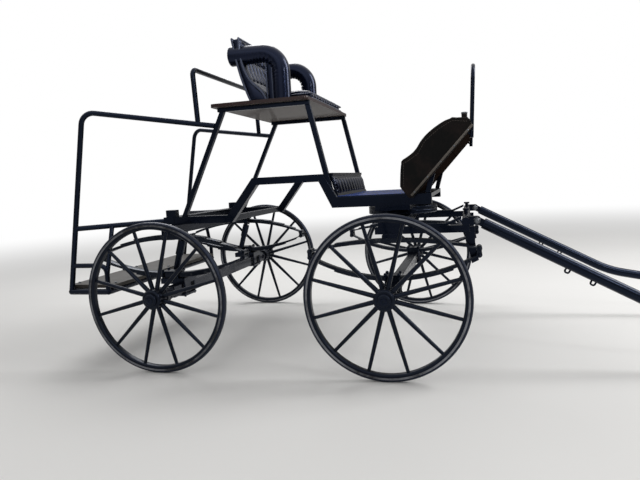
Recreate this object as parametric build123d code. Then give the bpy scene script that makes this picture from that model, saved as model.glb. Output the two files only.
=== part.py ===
from build123d import *
import math
import os

# Four-wheeled horse drawn carriage, all sizes in millimetres.
# X runs forward, Y to the vehicle's left, Z up. X = 0 is the rear axle, Z = 0 the ground.
# Pieces are written with X counted from the middle of the whole length.

os.makedirs("parts", exist_ok=True)

# Wheels and axles.
WHEEL_R = 350
WHEELBASE = 1060
TRACK_HALF = 730
TYRE_DEPTH = 14
FELLOE_DEPTH = 19
FELLOE_WIDTH = 32
SPOKES = 12
HUB_R = 43
HUB_IN = 88
HUB_OUT = 42
CAP_R = 27.5
ARM_R = 16
RUNNING = 0.05
AXLE_WIDTH = 48
AXLE_DEPTH = 52
AXLE_TOP = WHEEL_R + AXLE_DEPTH / 2
AXLE_LOW = AXLE_TOP - AXLE_DEPTH
AXLE_HALF = TRACK_HALF - HUB_IN - 42

# Springs. Each is two bows; LOW and HIGH are its outer faces at the crowns.
SPRING_Y = 480
SPRING_WIDTH = 45
LEAF = 6
EYE_R = 11
REAR_SPRING_X = -45
REAR_REACH = 392
REAR_LEAVES = 4
REAR_LOW = AXLE_TOP + 27
REAR_CROWN_LOW = REAR_LOW + 2 + LEAF * (REAR_LEAVES - 0.5)
REAR_CROWN_HIGH = REAR_CROWN_LOW + 172
REAR_HIGH = REAR_CROWN_HIGH + LEAF * (REAR_LEAVES - 0.5) + 2
FRONT_REACH = 378
FRONT_LEAVES = 3
FRONT_LOW = AXLE_TOP + 3
FRONT_CROWN_LOW = FRONT_LOW + 2 + LEAF * (FRONT_LEAVES - 0.5)
FRONT_CROWN_HIGH = FRONT_CROWN_LOW + 162
FRONT_HIGH = FRONT_CROWN_HIGH + LEAF * (FRONT_LEAVES - 0.5) + 2

# Fore-carriage, stacked from the front springs up to the floor beams.
FUTCHELL_Y = 460
FUTCHELL_HALF = 18
FUTCHELL_LOW = FRONT_HIGH + 15
FUTCHELL_REAR = WHEELBASE - 75
FUTCHELL_FRONT = WHEELBASE + 340
BOLSTER_LOW = FUTCHELL_LOW + 32
BOLSTER_TOP = BOLSTER_LOW + 35
RING_OUT = 178
RING_IN = 138
RING_GAP = 0.5
RING_SPLIT = BOLSTER_TOP + 18
RING_TOP = RING_SPLIT + 18
KING_R = 14
SPLINTER_X = FUTCHELL_FRONT - 15
SPLINTER_R = 18
SPLINTER_HALF = FUTCHELL_Y + 60
PIN_X = SPLINTER_X + 46
PIN_Z = BOLSTER_LOW + SPLINTER_R
PIN_R = 9
LUG_HALF = 10
EAR_T = 12

# Body frame.
FRAME_Y = 389
FRAME_T = 37
FRAME_IN = FRAME_Y - FRAME_T / 2
FRAME_OUT = FRAME_Y + FRAME_T / 2
SILL_LOW = REAR_HIGH + 42
SILL_TOP = SILL_LOW + 37
SILL_REAR = -57
FLOOR_LOW = RING_TOP + 22
FLOOR_TOP = FLOOR_LOW + 50
FLOOR_FRONT = WHEELBASE + 178
UPPER_LOW = FLOOR_LOW + 126
UPPER_TOP = UPPER_LOW + 35
POST_X = 25
POST_Y = 24

# Seat.
BOARD_TOP = FLOOR_TOP + 475
BOARD_T = 16
BOARD_LOW = BOARD_TOP - BOARD_T
POST_TOP = BOARD_LOW - 20
BOARD_REAR = 199
BOARD_FRONT = BOARD_REAR + 492
BOARD_HALF = 440
CUSHION_TOP = BOARD_TOP + 54
ROLL_R = 43
ROLL_Z = BOARD_TOP + 226
ROLL_REAR = BOARD_REAR + 88
ARM_FOOT_X = BOARD_REAR + 348
ARM_PANEL_X = ARM_FOOT_X - 75
ARM_BEND = 94
ARM_RIGHT_Y = 86 - BOARD_HALF
ARM_MIDDLE_Y = ARM_RIGHT_Y + 476

# Lengths of the side frame that follow the seat board.
SILL_FRONT = BOARD_REAR + 63
FLOOR_REAR = BOARD_FRONT + 85
RISER_TOP = FLOOR_TOP + 102

# Toe board.
TOE_FOOT = FLOOR_FRONT - 97
TOE_TOP = (TOE_FOOT + 268, FLOOR_TOP + 290)
TOE_T = 20
TOE_HALF = 440
RAIL_RISE = 260

# Rails and backstep at the rear.
STEP_TUBE_R = 15
RAIL_R = STEP_TUBE_R - 2
STAY_R = STEP_TUBE_R - 3
RAIL_Y = 584
HOOP_R = 12.5
HOOP_TOP = BOARD_TOP + 180
CORNER = (-407, BOARD_TOP - 1)
FOOT = (-568, WHEEL_R)
STEP_REAR = FOOT[0] - 22
STEP_FRONT = -352

# Shafts.
SHAFT_R = 23.5
SHAFT_BEND_X = PIN_X + 719
SHAFT_BEND_Z = WHEEL_R - 93
SHAFT_SLOPE = 10.8
STAPLES = (425, 537)

# Whole length, from the backstep board to the shaft tips.
TIP_X = SHAFT_BEND_X + (SHAFT_BEND_Z - SHAFT_R) / math.tan(math.radians(SHAFT_SLOPE))
MIDDLE_X = (STEP_REAR + TIP_X + SHAFT_R) / 2


def block(x0, x1, y0, y1, z0, z1):
    """Box between two corners."""
    box = Box(x1 - x0, y1 - y0, z1 - z0)
    return Pos((x0 + x1) / 2, (y0 + y1) / 2, (z0 + z1) / 2) * box


def side_plate(points, y0, y1):
    """Side-view polygon of (x, z) points, given thickness from y0 to y1."""
    outline = Polyline(*[(x, y0, z) for x, z in points], close=True)
    return extrude(make_face(outline), amount=y1 - y0, dir=(0, 1, 0))


def rod(start, end, radius):
    """Round bar between two points."""
    a = Vector(*start)
    b = Vector(*end)
    bar = Cylinder(radius, (b - a).length, align=(Align.CENTER, Align.CENTER, Align.MIN))
    return Plane(origin=a, z_dir=b - a) * bar


def cross_rod(x, y0, y1, z, radius):
    """Round bar that lies across the vehicle."""
    return rod((x, y0, z), (x, y1, z), radius)


def bent_tube(corners, bend, radius):
    """Round tube through corner points, each inner corner rounded to the bend radius."""
    points = [Vector(*c) for c in corners]
    edges = []
    last = points[0]
    for before, corner, after in zip(points, points[1:], points[2:]):
        back = (before - corner).normalized()
        ahead = (after - corner).normalized()
        half = math.acos(max(-1.0, min(1.0, back.dot(ahead)))) / 2
        reach = bend / math.tan(half)
        middle = (back + ahead).normalized()
        top = corner + middle * (bend / math.sin(half) - bend)
        edges.append(Line(last, corner + back * reach))
        edges.append(ThreePointArc(corner + back * reach, top, corner + ahead * reach))
        last = corner + ahead * reach
    edges.append(Line(last, points[-1]))
    path = Wire(edges)
    start = Plane(origin=points[0], z_dir=points[1] - points[0])
    return sweep(start * Circle(radius), path=path)


def both_sides(shape):
    """The piece and its mirror image on the other side."""
    return shape + mirror(shape, about=Plane.XZ)


def save(name, shape):
    """Writes one node."""
    export_step(Pos(-MIDDLE_X, 0, 0) * shape, "parts/" + name + ".step")


def save_pair(name, shape):
    """Writes a left node and its mirror image on the right."""
    save(name + "_left", shape)
    save(name + "_right", mirror(shape, about=Plane.XZ))


# Wheels.

def turned(profile):
    """Solid of revolution about the wheel's own Y axis from (radius, y) points."""
    outline = Polyline(*[(r, y, 0) for r, y in profile], close=True)
    return revolve(make_face(outline), axis=Axis.Y)


# The hub is long and tapered on the inner side and ends short and flat on the outer side.
felloe_out = WHEEL_R - TYRE_DEPTH
felloe_in = felloe_out - FELLOE_DEPTH
bore = ARM_R + RUNNING
hub = turned([
    (bore, -HUB_IN), (34, -HUB_IN), (36, -HUB_IN + 12), (HUB_R, -34), (HUB_R, HUB_OUT - 4),
    (HUB_R - 4, HUB_OUT), (bore, HUB_OUT),
])
half = FELLOE_WIDTH / 2
felloe = turned([
    (felloe_in, -half + 4), (felloe_in + 4, -half), (felloe_out, -half), (felloe_out, half),
    (felloe_in + 4, half), (felloe_in, half - 4),
])
inner = Plane(origin=(0, 0, HUB_R - 8)) * Ellipse(10.5, 11)
outer = Plane(origin=(0, 0, felloe_in + 5)) * Ellipse(7.5, 8)
spoke = loft([inner, outer])
wheel = hub + felloe
for k in range(SPOKES):
    wheel += Rot(0, 360 / SPOKES * (k + 0.5), 0) * spoke
wheel -= Rot(90, 0, 0) * Cylinder(bore, 2 * HUB_IN + 20)
wheel += turned([
    (0, HUB_OUT), (CAP_R, HUB_OUT), (CAP_R, HUB_OUT + 6), (CAP_R - 4, HUB_OUT + 10),
    (0, HUB_OUT + 10),
])

# The rubber tyre sits on the felloe with rounded shoulders.
tyre_half = FELLOE_WIDTH / 2 - 1
tyre = turned([
    (felloe_out, -tyre_half), (WHEEL_R - 5, -tyre_half), (WHEEL_R - 1.5, -tyre_half + 4),
    (WHEEL_R, -5), (WHEEL_R, 5), (WHEEL_R - 1.5, tyre_half - 4),
    (WHEEL_R - 5, tyre_half), (felloe_out, tyre_half),
])
for name, x in [("rear", 0), ("front", WHEELBASE)]:
    place = Pos(x, TRACK_HALF, WHEEL_R)
    save_pair("wheel_" + name, place * wheel)
    save_pair("tyre_" + name, place * tyre)


# Axles.

def axle(x):
    """Square beam with a collar and a round arm at each end."""
    w = AXLE_WIDTH / 2
    beam = block(x - w, x + w, -AXLE_HALF, AXLE_HALF, AXLE_LOW, AXLE_TOP)
    collar = cross_rod(x, AXLE_HALF, AXLE_HALF + 34, WHEEL_R, 30)
    arm = cross_rod(x, AXLE_HALF, TRACK_HALF + HUB_OUT - 4, WHEEL_R, ARM_R)
    return beam + both_sides(collar + arm)


save("rear_axle", axle(0))
save("front_axle", axle(WHEELBASE))


# Springs.

def arc_band(x, z, r_in, r_out, angle, up):
    """Curved leaf in side view about the centre (x, z), reaching angle to both ends."""
    def at(r, a):
        return (x + r * math.sin(a), SPRING_Y - SPRING_WIDTH / 2, z + up * r * math.cos(a))
    edges = [
        ThreePointArc(at(r_out, -angle), at(r_out, 0), at(r_out, angle)),
        Line(at(r_out, angle), at(r_in, angle)),
        ThreePointArc(at(r_in, angle), at(r_in, 0), at(r_in, -angle)),
        Line(at(r_in, -angle), at(r_out, -angle)),
    ]
    return extrude(make_face(edges), amount=SPRING_WIDTH, dir=(0, 1, 0))


def half_spring(x, reach, eye_z, crown_z, leaves):
    """Bow of stacked leaves; crown_z is the middle of the longest leaf at its crown."""
    up = 1 if crown_z > eye_z else -1
    rise = abs(crown_z - eye_z)
    radius = (reach ** 2 + rise ** 2) / (2 * rise)
    centre = crown_z - up * radius
    r = radius - LEAF / 2
    angle = math.asin(reach / radius)
    bow = arc_band(x, centre, r, r + LEAF, angle, up)
    for k in range(1, leaves):
        r += LEAF
        bow += arc_band(x, centre, r, r + LEAF, angle * (0.88 - 0.2 * (k - 1)), up)
    y0 = SPRING_Y - SPRING_WIDTH / 2
    y1 = SPRING_Y + SPRING_WIDTH / 2
    band_z = [crown_z - up * (LEAF / 2 + 2), crown_z + up * (LEAF * (leaves - 0.5) + 2)]
    bow += block(x - 34, x + 34, y0 - 2, y1 + 2, min(band_z), max(band_z))
    for end in (-1, 1):
        bow += cross_rod(x + end * reach, y0, y1, eye_z, EYE_R)
    return bow


def spring(x, reach, eyes, crowns, leaves):
    """Full elliptic spring: two bows held at each end by shackle plates and bolts."""
    low, high = eyes
    pair = half_spring(x, reach, high, crowns[1], leaves)
    pair += half_spring(x, reach, low, crowns[0], leaves)
    y0 = SPRING_Y - SPRING_WIDTH / 2
    y1 = SPRING_Y + SPRING_WIDTH / 2
    for end in (-1, 1):
        ex = x + end * reach
        for z in eyes:
            pair += cross_rod(ex, y0 - 12, y1 + 12, z, 6)
            for a, b in [(y0 - 6, y0), (y1, y1 + 6)]:
                pair += cross_rod(ex, a, b, z, EYE_R + 1)
        for a, b in [(y0 - 6, y0), (y1, y1 + 6)]:
            pair += block(ex - 10, ex + 10, a, b, low, high)
    return pair


rear_middle = (REAR_CROWN_LOW + REAR_CROWN_HIGH) / 2
save_pair("rear_spring", spring(
    REAR_SPRING_X, REAR_REACH, (rear_middle - 12, rear_middle + 12),
    (REAR_CROWN_LOW, REAR_CROWN_HIGH), REAR_LEAVES
))
save_pair("front_spring", spring(
    WHEELBASE, FRONT_REACH, (FRONT_CROWN_LOW + 98, FRONT_CROWN_LOW + 126),
    (FRONT_CROWN_LOW, FRONT_CROWN_HIGH), FRONT_LEAVES
))

# Each rear spring stands on a seat on the axle, clamped by a plate and four bolts.
seat = block(
    REAR_SPRING_X - 48, AXLE_WIDTH / 2 + 14, SPRING_Y - 80, SPRING_Y + 40, AXLE_TOP, REAR_LOW
)
for dx in (-40, 40):
    for dy in (-31, 31):
        bolt = (REAR_SPRING_X + dx, SPRING_Y + dy)
        seat += rod((*bolt, REAR_LOW - 5), (*bolt, REAR_CROWN_LOW + 18), 5)
clamp_low = REAR_CROWN_LOW + LEAF / 2 + 2
seat += block(
    REAR_SPRING_X - 48, REAR_SPRING_X + 48, SPRING_Y - 38, SPRING_Y + 38, clamp_low, clamp_low + 8
)
for dx in (-AXLE_WIDTH / 2 - 6, AXLE_WIDTH / 2 + 6):
    for y in (SPRING_Y - 68, SPRING_Y + 28):
        seat += rod((dx, y, AXLE_LOW - 14), (dx, y, REAR_LOW), 5)
seat += block(-36, 36, SPRING_Y - 76, SPRING_Y + 36, AXLE_LOW - 10, AXLE_LOW)
DAMPER_Y = SPRING_Y - 56
DAMPER_LOW = (REAR_SPRING_X - 17, REAR_LOW + 15)
DAMPER_HIGH = (REAR_SPRING_X + 39, REAR_CROWN_HIGH)
for y0, y1 in [(DAMPER_Y - 20, DAMPER_Y - 14), (DAMPER_Y + 14, DAMPER_Y + 18)]:
    seat += block(DAMPER_LOW[0] - 11, DAMPER_LOW[0] + 11, y0, y1, REAR_LOW, DAMPER_LOW[1] + 12)
save("rear_spring_seats", both_sides(seat))


def between(a, b, part):
    """Point at the given part of the way from a to b."""
    return tuple(p + part * (q - p) for p, q in zip(a, b))


# Telescopic damper leaning beside each rear spring, an eye at both ends.
low = (DAMPER_LOW[0], DAMPER_Y, DAMPER_LOW[1])
high = (DAMPER_HIGH[0], DAMPER_Y, DAMPER_HIGH[1])
damper = rod(low, high, 7)
damper += rod(between(low, high, 0.1), between(low, high, 0.52), 16)
damper += rod(between(low, high, 0.52), between(low, high, 0.92), 20)
for x, z in (DAMPER_LOW, DAMPER_HIGH):
    damper += cross_rod(x, DAMPER_Y - 14, DAMPER_Y + 14, z, 12)
save("dampers", both_sides(damper))

# The rear cross beam carries the sills and rests on both springs.
beam = block(
    REAR_SPRING_X - 27, REAR_SPRING_X + 37, -SPRING_Y - 35, SPRING_Y + 35, REAR_HIGH, SILL_LOW
)
for y0, y1 in [(DAMPER_Y - 20, DAMPER_Y - 14), (DAMPER_Y + 14, DAMPER_Y + 20)]:
    ear = block(
        DAMPER_HIGH[0] - 12, DAMPER_HIGH[0] + 12, y0, y1, DAMPER_HIGH[1] - 12, REAR_HIGH + 10
    )
    beam += both_sides(ear)
save("rear_cross_beam", beam)

# Front springs are bolted straight on the axle.
top = FRONT_CROWN_LOW + LEAF / 2 + 2
y0 = SPRING_Y - 38
y1 = SPRING_Y + 38
clamps = block(WHEELBASE - 38, WHEELBASE + 38, y0, y1, top, top + 9)
clamps += block(WHEELBASE - 38, WHEELBASE + 38, y0, y1, AXLE_LOW - 9, AXLE_LOW)
for dx in (-AXLE_WIDTH / 2 - 6, AXLE_WIDTH / 2 + 6):
    for dy in (-31, 31):
        spot = (WHEELBASE + dx, SPRING_Y + dy)
        clamps += rod((*spot, AXLE_LOW - 16), (*spot, top + 18), 5)
clamps += block(WHEELBASE - 34, WHEELBASE + 34, SPRING_Y - 25, SPRING_Y + 25, AXLE_TOP, FRONT_LOW)
save("front_spring_clamps", both_sides(clamps))


# Side frames: one long beam each side, low at the rear, high under the seat, then the floor.
cut_rear = BOARD_REAR + 204
cut_front = FLOOR_REAR - 60
side = [
    (SILL_REAR, SILL_LOW), (SILL_FRONT, SILL_LOW), (cut_rear, UPPER_LOW), (cut_front, UPPER_LOW),
    (FLOOR_REAR, FLOOR_LOW), (FLOOR_FRONT, FLOOR_LOW), (FLOOR_FRONT, FLOOR_TOP),
    (FLOOR_REAR + 24, FLOOR_TOP), (cut_front + 21, UPPER_TOP), (cut_rear - 22, UPPER_TOP),
    (SILL_FRONT - 22, SILL_TOP), (SILL_REAR, SILL_TOP),
]
frame = side_plate(side, FRAME_IN, FRAME_OUT)
save_pair("side_frame", frame)


def post_outline(foot_x, foot_z, head_x):
    """Side view of a leaning post that ends under the seat rail."""
    h = POST_X / 2
    return [(foot_x - h, foot_z), (foot_x + h, foot_z), (head_x + h, POST_TOP), (head_x - h, POST_TOP)]


REAR_POST_FOOT = -3
REAR_POST_HEAD = BOARD_REAR + 45
y0 = FRAME_Y - POST_Y / 2
y1 = FRAME_Y + POST_Y / 2
rear_post = side_plate(post_outline(REAR_POST_FOOT, SILL_TOP, REAR_POST_HEAD), y0, y1)
front_post = side_plate(post_outline(FLOOR_REAR + 6, FLOOR_LOW + 20, BOARD_FRONT - 12), y0, y1) - frame
save("seat_posts", both_sides(rear_post + front_post))

# A rail on the heads of the two posts of each side carries the seat board.
seat_rail = block(BOARD_REAR + 22, BOARD_FRONT - 2, FRAME_Y - 12, FRAME_Y + 12, POST_TOP, BOARD_LOW)
save("seat_rails", both_sides(seat_rail))

# The rear cross bar closes the frame; a block over each sill end takes the lower rails.
bar = block(SILL_REAR - 60, SILL_REAR, -FRAME_OUT, FRAME_OUT, SILL_LOW, SILL_TOP)
blocks = block(SILL_REAR - 44, SILL_REAR + 11, FRAME_IN, FRAME_OUT, SILL_TOP, SILL_TOP + 36)
tube = block(SILL_FRONT - 40, SILL_FRONT - 12, -FRAME_IN, FRAME_IN, SILL_LOW + 4, SILL_TOP - 4)
save("frame_cross_members", bar + both_sides(blocks) + tube)

# Floor between the side beams, a mat on top.
save("floor_panel", block(FLOOR_REAR + 6, FLOOR_FRONT, -FRAME_IN, FRAME_IN, FLOOR_TOP - 20, FLOOR_TOP))
mat_half = FRAME_OUT - 4
save("floor_mat", block(
    FLOOR_REAR + 26, TOE_FOOT - 5, -mat_half, mat_half, FLOOR_TOP, FLOOR_TOP + 4
))

# The riser closes the step up from the floor, with a rail along its top edge.
riser = [
    (FLOOR_REAR + 14, FLOOR_TOP), (FLOOR_REAR + 26, FLOOR_TOP), (FLOOR_REAR - 2, RISER_TOP),
    (FLOOR_REAR - 14, RISER_TOP),
]
panel = side_plate(riser, -FRAME_IN, FRAME_IN)
panel += block(FLOOR_REAR - 20, FLOOR_REAR + 2, -FRAME_IN, FRAME_IN, RISER_TOP, RISER_TOP + 13)
save("riser", panel - both_sides(front_post))

# The toe board leans forward from the floor, its edges cut off level at the foot.
lean = math.atan2(TOE_TOP[1] - FLOOR_TOP, TOE_TOP[0] - TOE_FOOT)
drop = (TOE_T * math.sin(lean), -TOE_T * math.cos(lean))
toe = [
    (TOE_FOOT, FLOOR_TOP), TOE_TOP, (TOE_TOP[0] + drop[0], TOE_TOP[1] + drop[1]),
    (TOE_FOOT + TOE_T / math.sin(lean), FLOOR_TOP),
]
save("toe_board", side_plate(toe, -TOE_HALF, TOE_HALF))

# A leather wing on each side; its edge runs from the heel, up and forward to the toe board's top.
wing = [(TOE_FOOT + x, FLOOR_TOP + z) for x, z in [
    (0, -17), (-35, 29), (-29, 148), (-8, 155), (38, 187), (69, 240), (130, 289), (197, 323), (268, 313),
]]
wing += [(TOE_TOP[0] + drop[0], TOE_TOP[1] + drop[1]), (TOE_FOOT + 19, FLOOR_TOP - 17)]
save_pair("wing", side_plate(wing, TOE_HALF, TOE_HALF + 8))

# Iron stays hold the toe board up from the front of the side beams.
stay_top = 0.3
sx = TOE_FOOT + stay_top * (TOE_TOP[0] - TOE_FOOT) + drop[0]
sz = FLOOR_TOP + stay_top * (TOE_TOP[1] - FLOOR_TOP) + drop[1]
toe_solid = side_plate(toe, -TOE_HALF, TOE_HALF)
strut = side_plate([
    (FLOOR_FRONT - 30, FLOOR_TOP), (FLOOR_FRONT - 6, FLOOR_TOP), (sx + 20, sz + 14),
    (sx - 8, sz + 12),
], FRAME_Y - 5, FRAME_Y + 5)
save("toe_board_stays", both_sides(strut - toe_solid))

# Rein rail: a hoop let into the top edge of the toe board, its feet tied back to the underside.
rail_x = TOE_TOP[0] + drop[0] - 3
rail_z = TOE_TOP[1] + drop[1] / 2
rail_y = TOE_HALF - 12
hoop = bent_tube([
    (rail_x - 4, -rail_y, rail_z - 52), (rail_x + 10, -rail_y, rail_z + RAIL_RISE),
    (rail_x + 10, rail_y, rail_z + RAIL_RISE), (rail_x - 4, rail_y, rail_z - 52),
], 60, 9)
tie = (rail_x - 4, rail_y, rail_z - 42)
tie_end = (tie[0] - 1.5 * drop[0], rail_y, tie[2] - 1.5 * drop[1])
save("rein_rail", hoop + both_sides(rod(tie, tie_end, 5)) - toe_solid)


# Seat board with rounded corners.
board = block(BOARD_REAR, BOARD_FRONT, -BOARD_HALF, BOARD_HALF, BOARD_LOW, BOARD_TOP)
save("seat_board", fillet(board.edges().filter_by(Axis.Z), 24))


def seat_arm(y):
    """Padded roll that runs forward, bends down and stands on the board, with an inner panel."""
    roll = bent_tube([
        (ROLL_REAR, y, ROLL_Z), (ARM_FOOT_X, y, ROLL_Z), (ARM_FOOT_X, y, BOARD_TOP),
    ], ARM_BEND, ROLL_R)
    panel = block(ARM_PANEL_X, ARM_FOOT_X, y - 14, y + 14, BOARD_TOP, ROLL_Z - 10)
    return roll + panel


arm_right = seat_arm(ARM_RIGHT_Y)
arm_middle = seat_arm(ARM_MIDDLE_Y)
save("seat_arm_right", arm_right)
save("seat_arm_middle", arm_middle)

# The back leans and curves forward into the seat.
def back_at(x, z):
    """Point of the back's side view, counted from the board's rear edge and top."""
    return (BOARD_REAR + x, 0, BOARD_TOP + z)


rear_face = ThreePointArc(back_at(191, 0), back_at(138, 148), back_at(110, 312))
front_face = ThreePointArc(back_at(170, 304), back_at(185, 134), back_at(271, 0))
back_edges = [
    rear_face, Line(back_at(110, 312), back_at(170, 304)), front_face,
    Line(back_at(271, 0), back_at(191, 0)),
]
back = extrude(make_face(back_edges), amount=1, dir=(0, 1, 0))
width = ARM_MIDDLE_Y - ARM_RIGHT_Y + 2 * ROLL_R - 6
back = Pos(0, ARM_RIGHT_Y - ROLL_R + 3, 0) * scale(back, by=(1, width, 1))
save("seat_back", back - arm_right - arm_middle)

# The cushion fills the board in front of the back and passes before the middle arm.
side_y = BOARD_HALF - 65
cushion_rear = BOARD_REAR + 273
cushion = block(
    cushion_rear, BOARD_FRONT - 8, ARM_RIGHT_Y + ROLL_R + 2, side_y, BOARD_TOP, CUSHION_TOP
)
cushion += block(
    BOARD_REAR + 131, cushion_rear + 1, ARM_MIDDLE_Y + ROLL_R + 4, side_y, BOARD_TOP, CUSHION_TOP
)
notch = ROLL_R + 3
cushion -= block(
    cushion_rear - 72, ARM_FOOT_X + notch, ARM_MIDDLE_Y - notch, ARM_MIDDLE_Y + notch,
    BOARD_TOP - 1, CUSHION_TOP + 1
)
save("seat_cushion", cushion)

# The top rails end at the rear posts, 99 mm under the board's top face.
RAIL_END_Z = BOARD_TOP - 99
post_part = (RAIL_END_Z - SILL_TOP) / (POST_TOP - SILL_TOP)
RAIL_END = (REAR_POST_FOOT + post_part * (REAR_POST_HEAD - REAR_POST_FOOT) - 10, RAIL_END_Z)


def upright_x(z):
    """X of the leaning upright at height z."""
    return FOOT[0] + (CORNER[0] - FOOT[0]) * (z - FOOT[1]) / (CORNER[1] - FOOT[1])


# Backstep frame: a flat rectangle of tube with a rounded corner piece at each meeting.
step = None
for x in (FOOT[0], STEP_FRONT):
    ends = cross_rod(x, -RAIL_Y, RAIL_Y, FOOT[1], STEP_TUBE_R)
    step = ends if step is None else step + ends
    step += both_sides(Pos(x, RAIL_Y, FOOT[1]) * Sphere(STEP_TUBE_R))
step += both_sides(rod((FOOT[0], RAIL_Y, FOOT[1]), (STEP_FRONT, RAIL_Y, FOOT[1]), STEP_TUBE_R))

# Each top rail runs down to the frame as an upright and forward to the seat post.
rear_rail = bent_tube([
    (FOOT[0], RAIL_Y, FOOT[1]), (CORNER[0], RAIL_Y, CORNER[1]),
    (RAIL_END[0] + 5, FRAME_Y, RAIL_END[1] - 1),
], 60, RAIL_R)
h = POST_X / 2
behind = side_plate([
    (REAR_POST_FOOT - h, SILL_TOP), (REAR_POST_HEAD - h, POST_TOP), (REAR_POST_HEAD + 50, POST_TOP),
    (REAR_POST_HEAD + 50, SILL_TOP),
], FRAME_Y - 40, FRAME_Y + 40)
rear_rail = rear_rail - behind - step
save_pair("rear_rail", rear_rail)

# The lower rail ties each upright to the rear cross bar.
low_start = (upright_x(SILL_LOW + 7), RAIL_Y, SILL_LOW + 7)
low_end = (SILL_REAR - 53, FRAME_Y, (SILL_LOW + SILL_TOP) / 2)
lower_rail = rod(low_start, low_end, STAY_R + 1) - rear_rail - bar
save("lower_rails", both_sides(lower_rail))

# A side stay on each side and a hanger up to the lower rail complete the frame.
stay_z = FOOT[1] + 133
side_tube = bent_tube([
    (upright_x(stay_z), RAIL_Y, stay_z), (STEP_FRONT, RAIL_Y, stay_z), (STEP_FRONT, RAIL_Y, FOOT[1]),
], 40, STAY_R)
hang = between(low_start, low_end, (STEP_FRONT - low_start[0]) / (low_end[0] - low_start[0]))
side_tube += rod((STEP_FRONT, RAIL_Y, FOOT[1] + 80), hang, STAY_R - 1)
side_tube = side_tube - rear_rail - lower_rail
save("backstep_frame", step + both_sides(side_tube))
board_low = FOOT[1] + STEP_TUBE_R
board_y = RAIL_Y - 18
save("backstep_board", block(
    STEP_REAR, STEP_FRONT + 22, -board_y, board_y, board_low, board_low + 18
))

# Grab hoop behind the seat, standing on the two top rails.
hoop_x = RAIL_END[0] - 82
top_rail = [(RAIL_END[0], FRAME_Y, RAIL_END[1]), (CORNER[0], RAIL_Y, CORNER[1])]
_, hy, hz = between(*top_rail, 82 / (RAIL_END[0] - CORNER[0]))
grab = bent_tube([
    (hoop_x, -hy, hz), (hoop_x - 10, -hy, HOOP_TOP), (hoop_x - 10, hy, HOOP_TOP), (hoop_x, hy, hz),
], 34, HOOP_R)
save("grab_hoop", grab - both_sides(rear_rail))


# The upper bolster sits under the side beams and carries the king pin and the upper ring.
upper = block(WHEELBASE - 80, WHEELBASE + 80, -FRAME_OUT, FRAME_OUT, RING_TOP, FLOOR_LOW)
pin_foot = (WHEELBASE, 0, BOLSTER_LOW - 22)
upper += rod(pin_foot, (WHEELBASE, 0, RING_TOP + 5), KING_R)
upper += rod(pin_foot, (WHEELBASE, 0, BOLSTER_LOW - 8), 24)


def ring(z0, z1):
    """Flat turntable ring about the king pin."""
    disc = Cylinder(RING_OUT, z1 - z0) - Cylinder(RING_IN, z1 - z0 + 2)
    return Pos(WHEELBASE, 0, (z0 + z1) / 2) * disc


save("upper_turntable", upper + ring(RING_SPLIT, RING_TOP))

# The lower bolster turns with the front wheels; the lower ring lies on it.
lower = block(
    WHEELBASE - 60, WHEELBASE + 60, -FUTCHELL_Y - FUTCHELL_HALF, FUTCHELL_Y + FUTCHELL_HALF,
    BOLSTER_LOW, BOLSTER_TOP
)
lower -= Pos(WHEELBASE, 0, BOLSTER_LOW) * Cylinder(KING_R + RUNNING, 100)
save("lower_turntable", lower + ring(BOLSTER_TOP, RING_SPLIT - RING_GAP))
inside = FUTCHELL_Y - FUTCHELL_HALF
outside = FUTCHELL_Y + FUTCHELL_HALF
futchell = block(FUTCHELL_REAR, FUTCHELL_FRONT, inside, outside, FUTCHELL_LOW, BOLSTER_LOW)
futchell += block(WHEELBASE - 40, WHEELBASE + 40, inside, SPRING_Y + 25, FRONT_HIGH, FUTCHELL_LOW)
hanger = [(FUTCHELL_FRONT + x, FUTCHELL_LOW + z) for x, z in [
    (-28, 22), (22, 22), (22, -50), (36, -128), (6, -142), (-12, -50),
]]
futchell += side_plate(hanger, inside - 12, inside)

# A bent flat stay runs from the bolster over each futchell to the splinter bar.
stay = [
    (WHEELBASE + 60, BOLSTER_TOP), (WHEELBASE + 60, BOLSTER_TOP - 12), (WHEELBASE + 140, BOLSTER_LOW),
    (WHEELBASE + 245, BOLSTER_LOW), (SPLINTER_X - 19, BOLSTER_LOW + 26),
    (SPLINTER_X - 19, BOLSTER_LOW + 38), (WHEELBASE + 240, BOLSTER_LOW + 10),
    (WHEELBASE + 144, BOLSTER_LOW + 10),
]
save_pair("futchell", futchell + side_plate(stay, FUTCHELL_Y - 14, FUTCHELL_Y + 14))

# Splinter bar across the futchells, a pair of ears and a pin for each shaft.
splinter = cross_rod(SPLINTER_X, -SPLINTER_HALF, SPLINTER_HALF, PIN_Z, SPLINTER_R)
gap = LUG_HALF + 0.5
for a, b in [(FUTCHELL_Y - gap - EAR_T, FUTCHELL_Y - gap), (FUTCHELL_Y + gap, FUTCHELL_Y + gap + EAR_T)]:
    ear = block(SPLINTER_X, PIN_X, a, b, PIN_Z - SPLINTER_R, PIN_Z + SPLINTER_R)
    ear += cross_rod(PIN_X, a, b, PIN_Z, SPLINTER_R)
    splinter += both_sides(ear)
reach = gap + EAR_T + 10
splinter += both_sides(cross_rod(PIN_X, FUTCHELL_Y - reach, FUTCHELL_Y + reach, PIN_Z, PIN_R))
for y in (-285, 285):
    foot = PIN_Z + SPLINTER_R - 3
    splinter += rod((SPLINTER_X, y, foot), (SPLINTER_X, y, foot + 26), 9)
    splinter += rod((SPLINTER_X, y, foot + 20), (SPLINTER_X, y, foot + 28), 15)
save("splinter_bar", splinter)

# Shafts: each slopes down from its pin and bends to run out nearly level along the ground.
along = math.atan2(PIN_Z - SHAFT_BEND_Z, SHAFT_BEND_X - PIN_X)
ux = math.cos(along)
uz = -math.sin(along)


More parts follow.
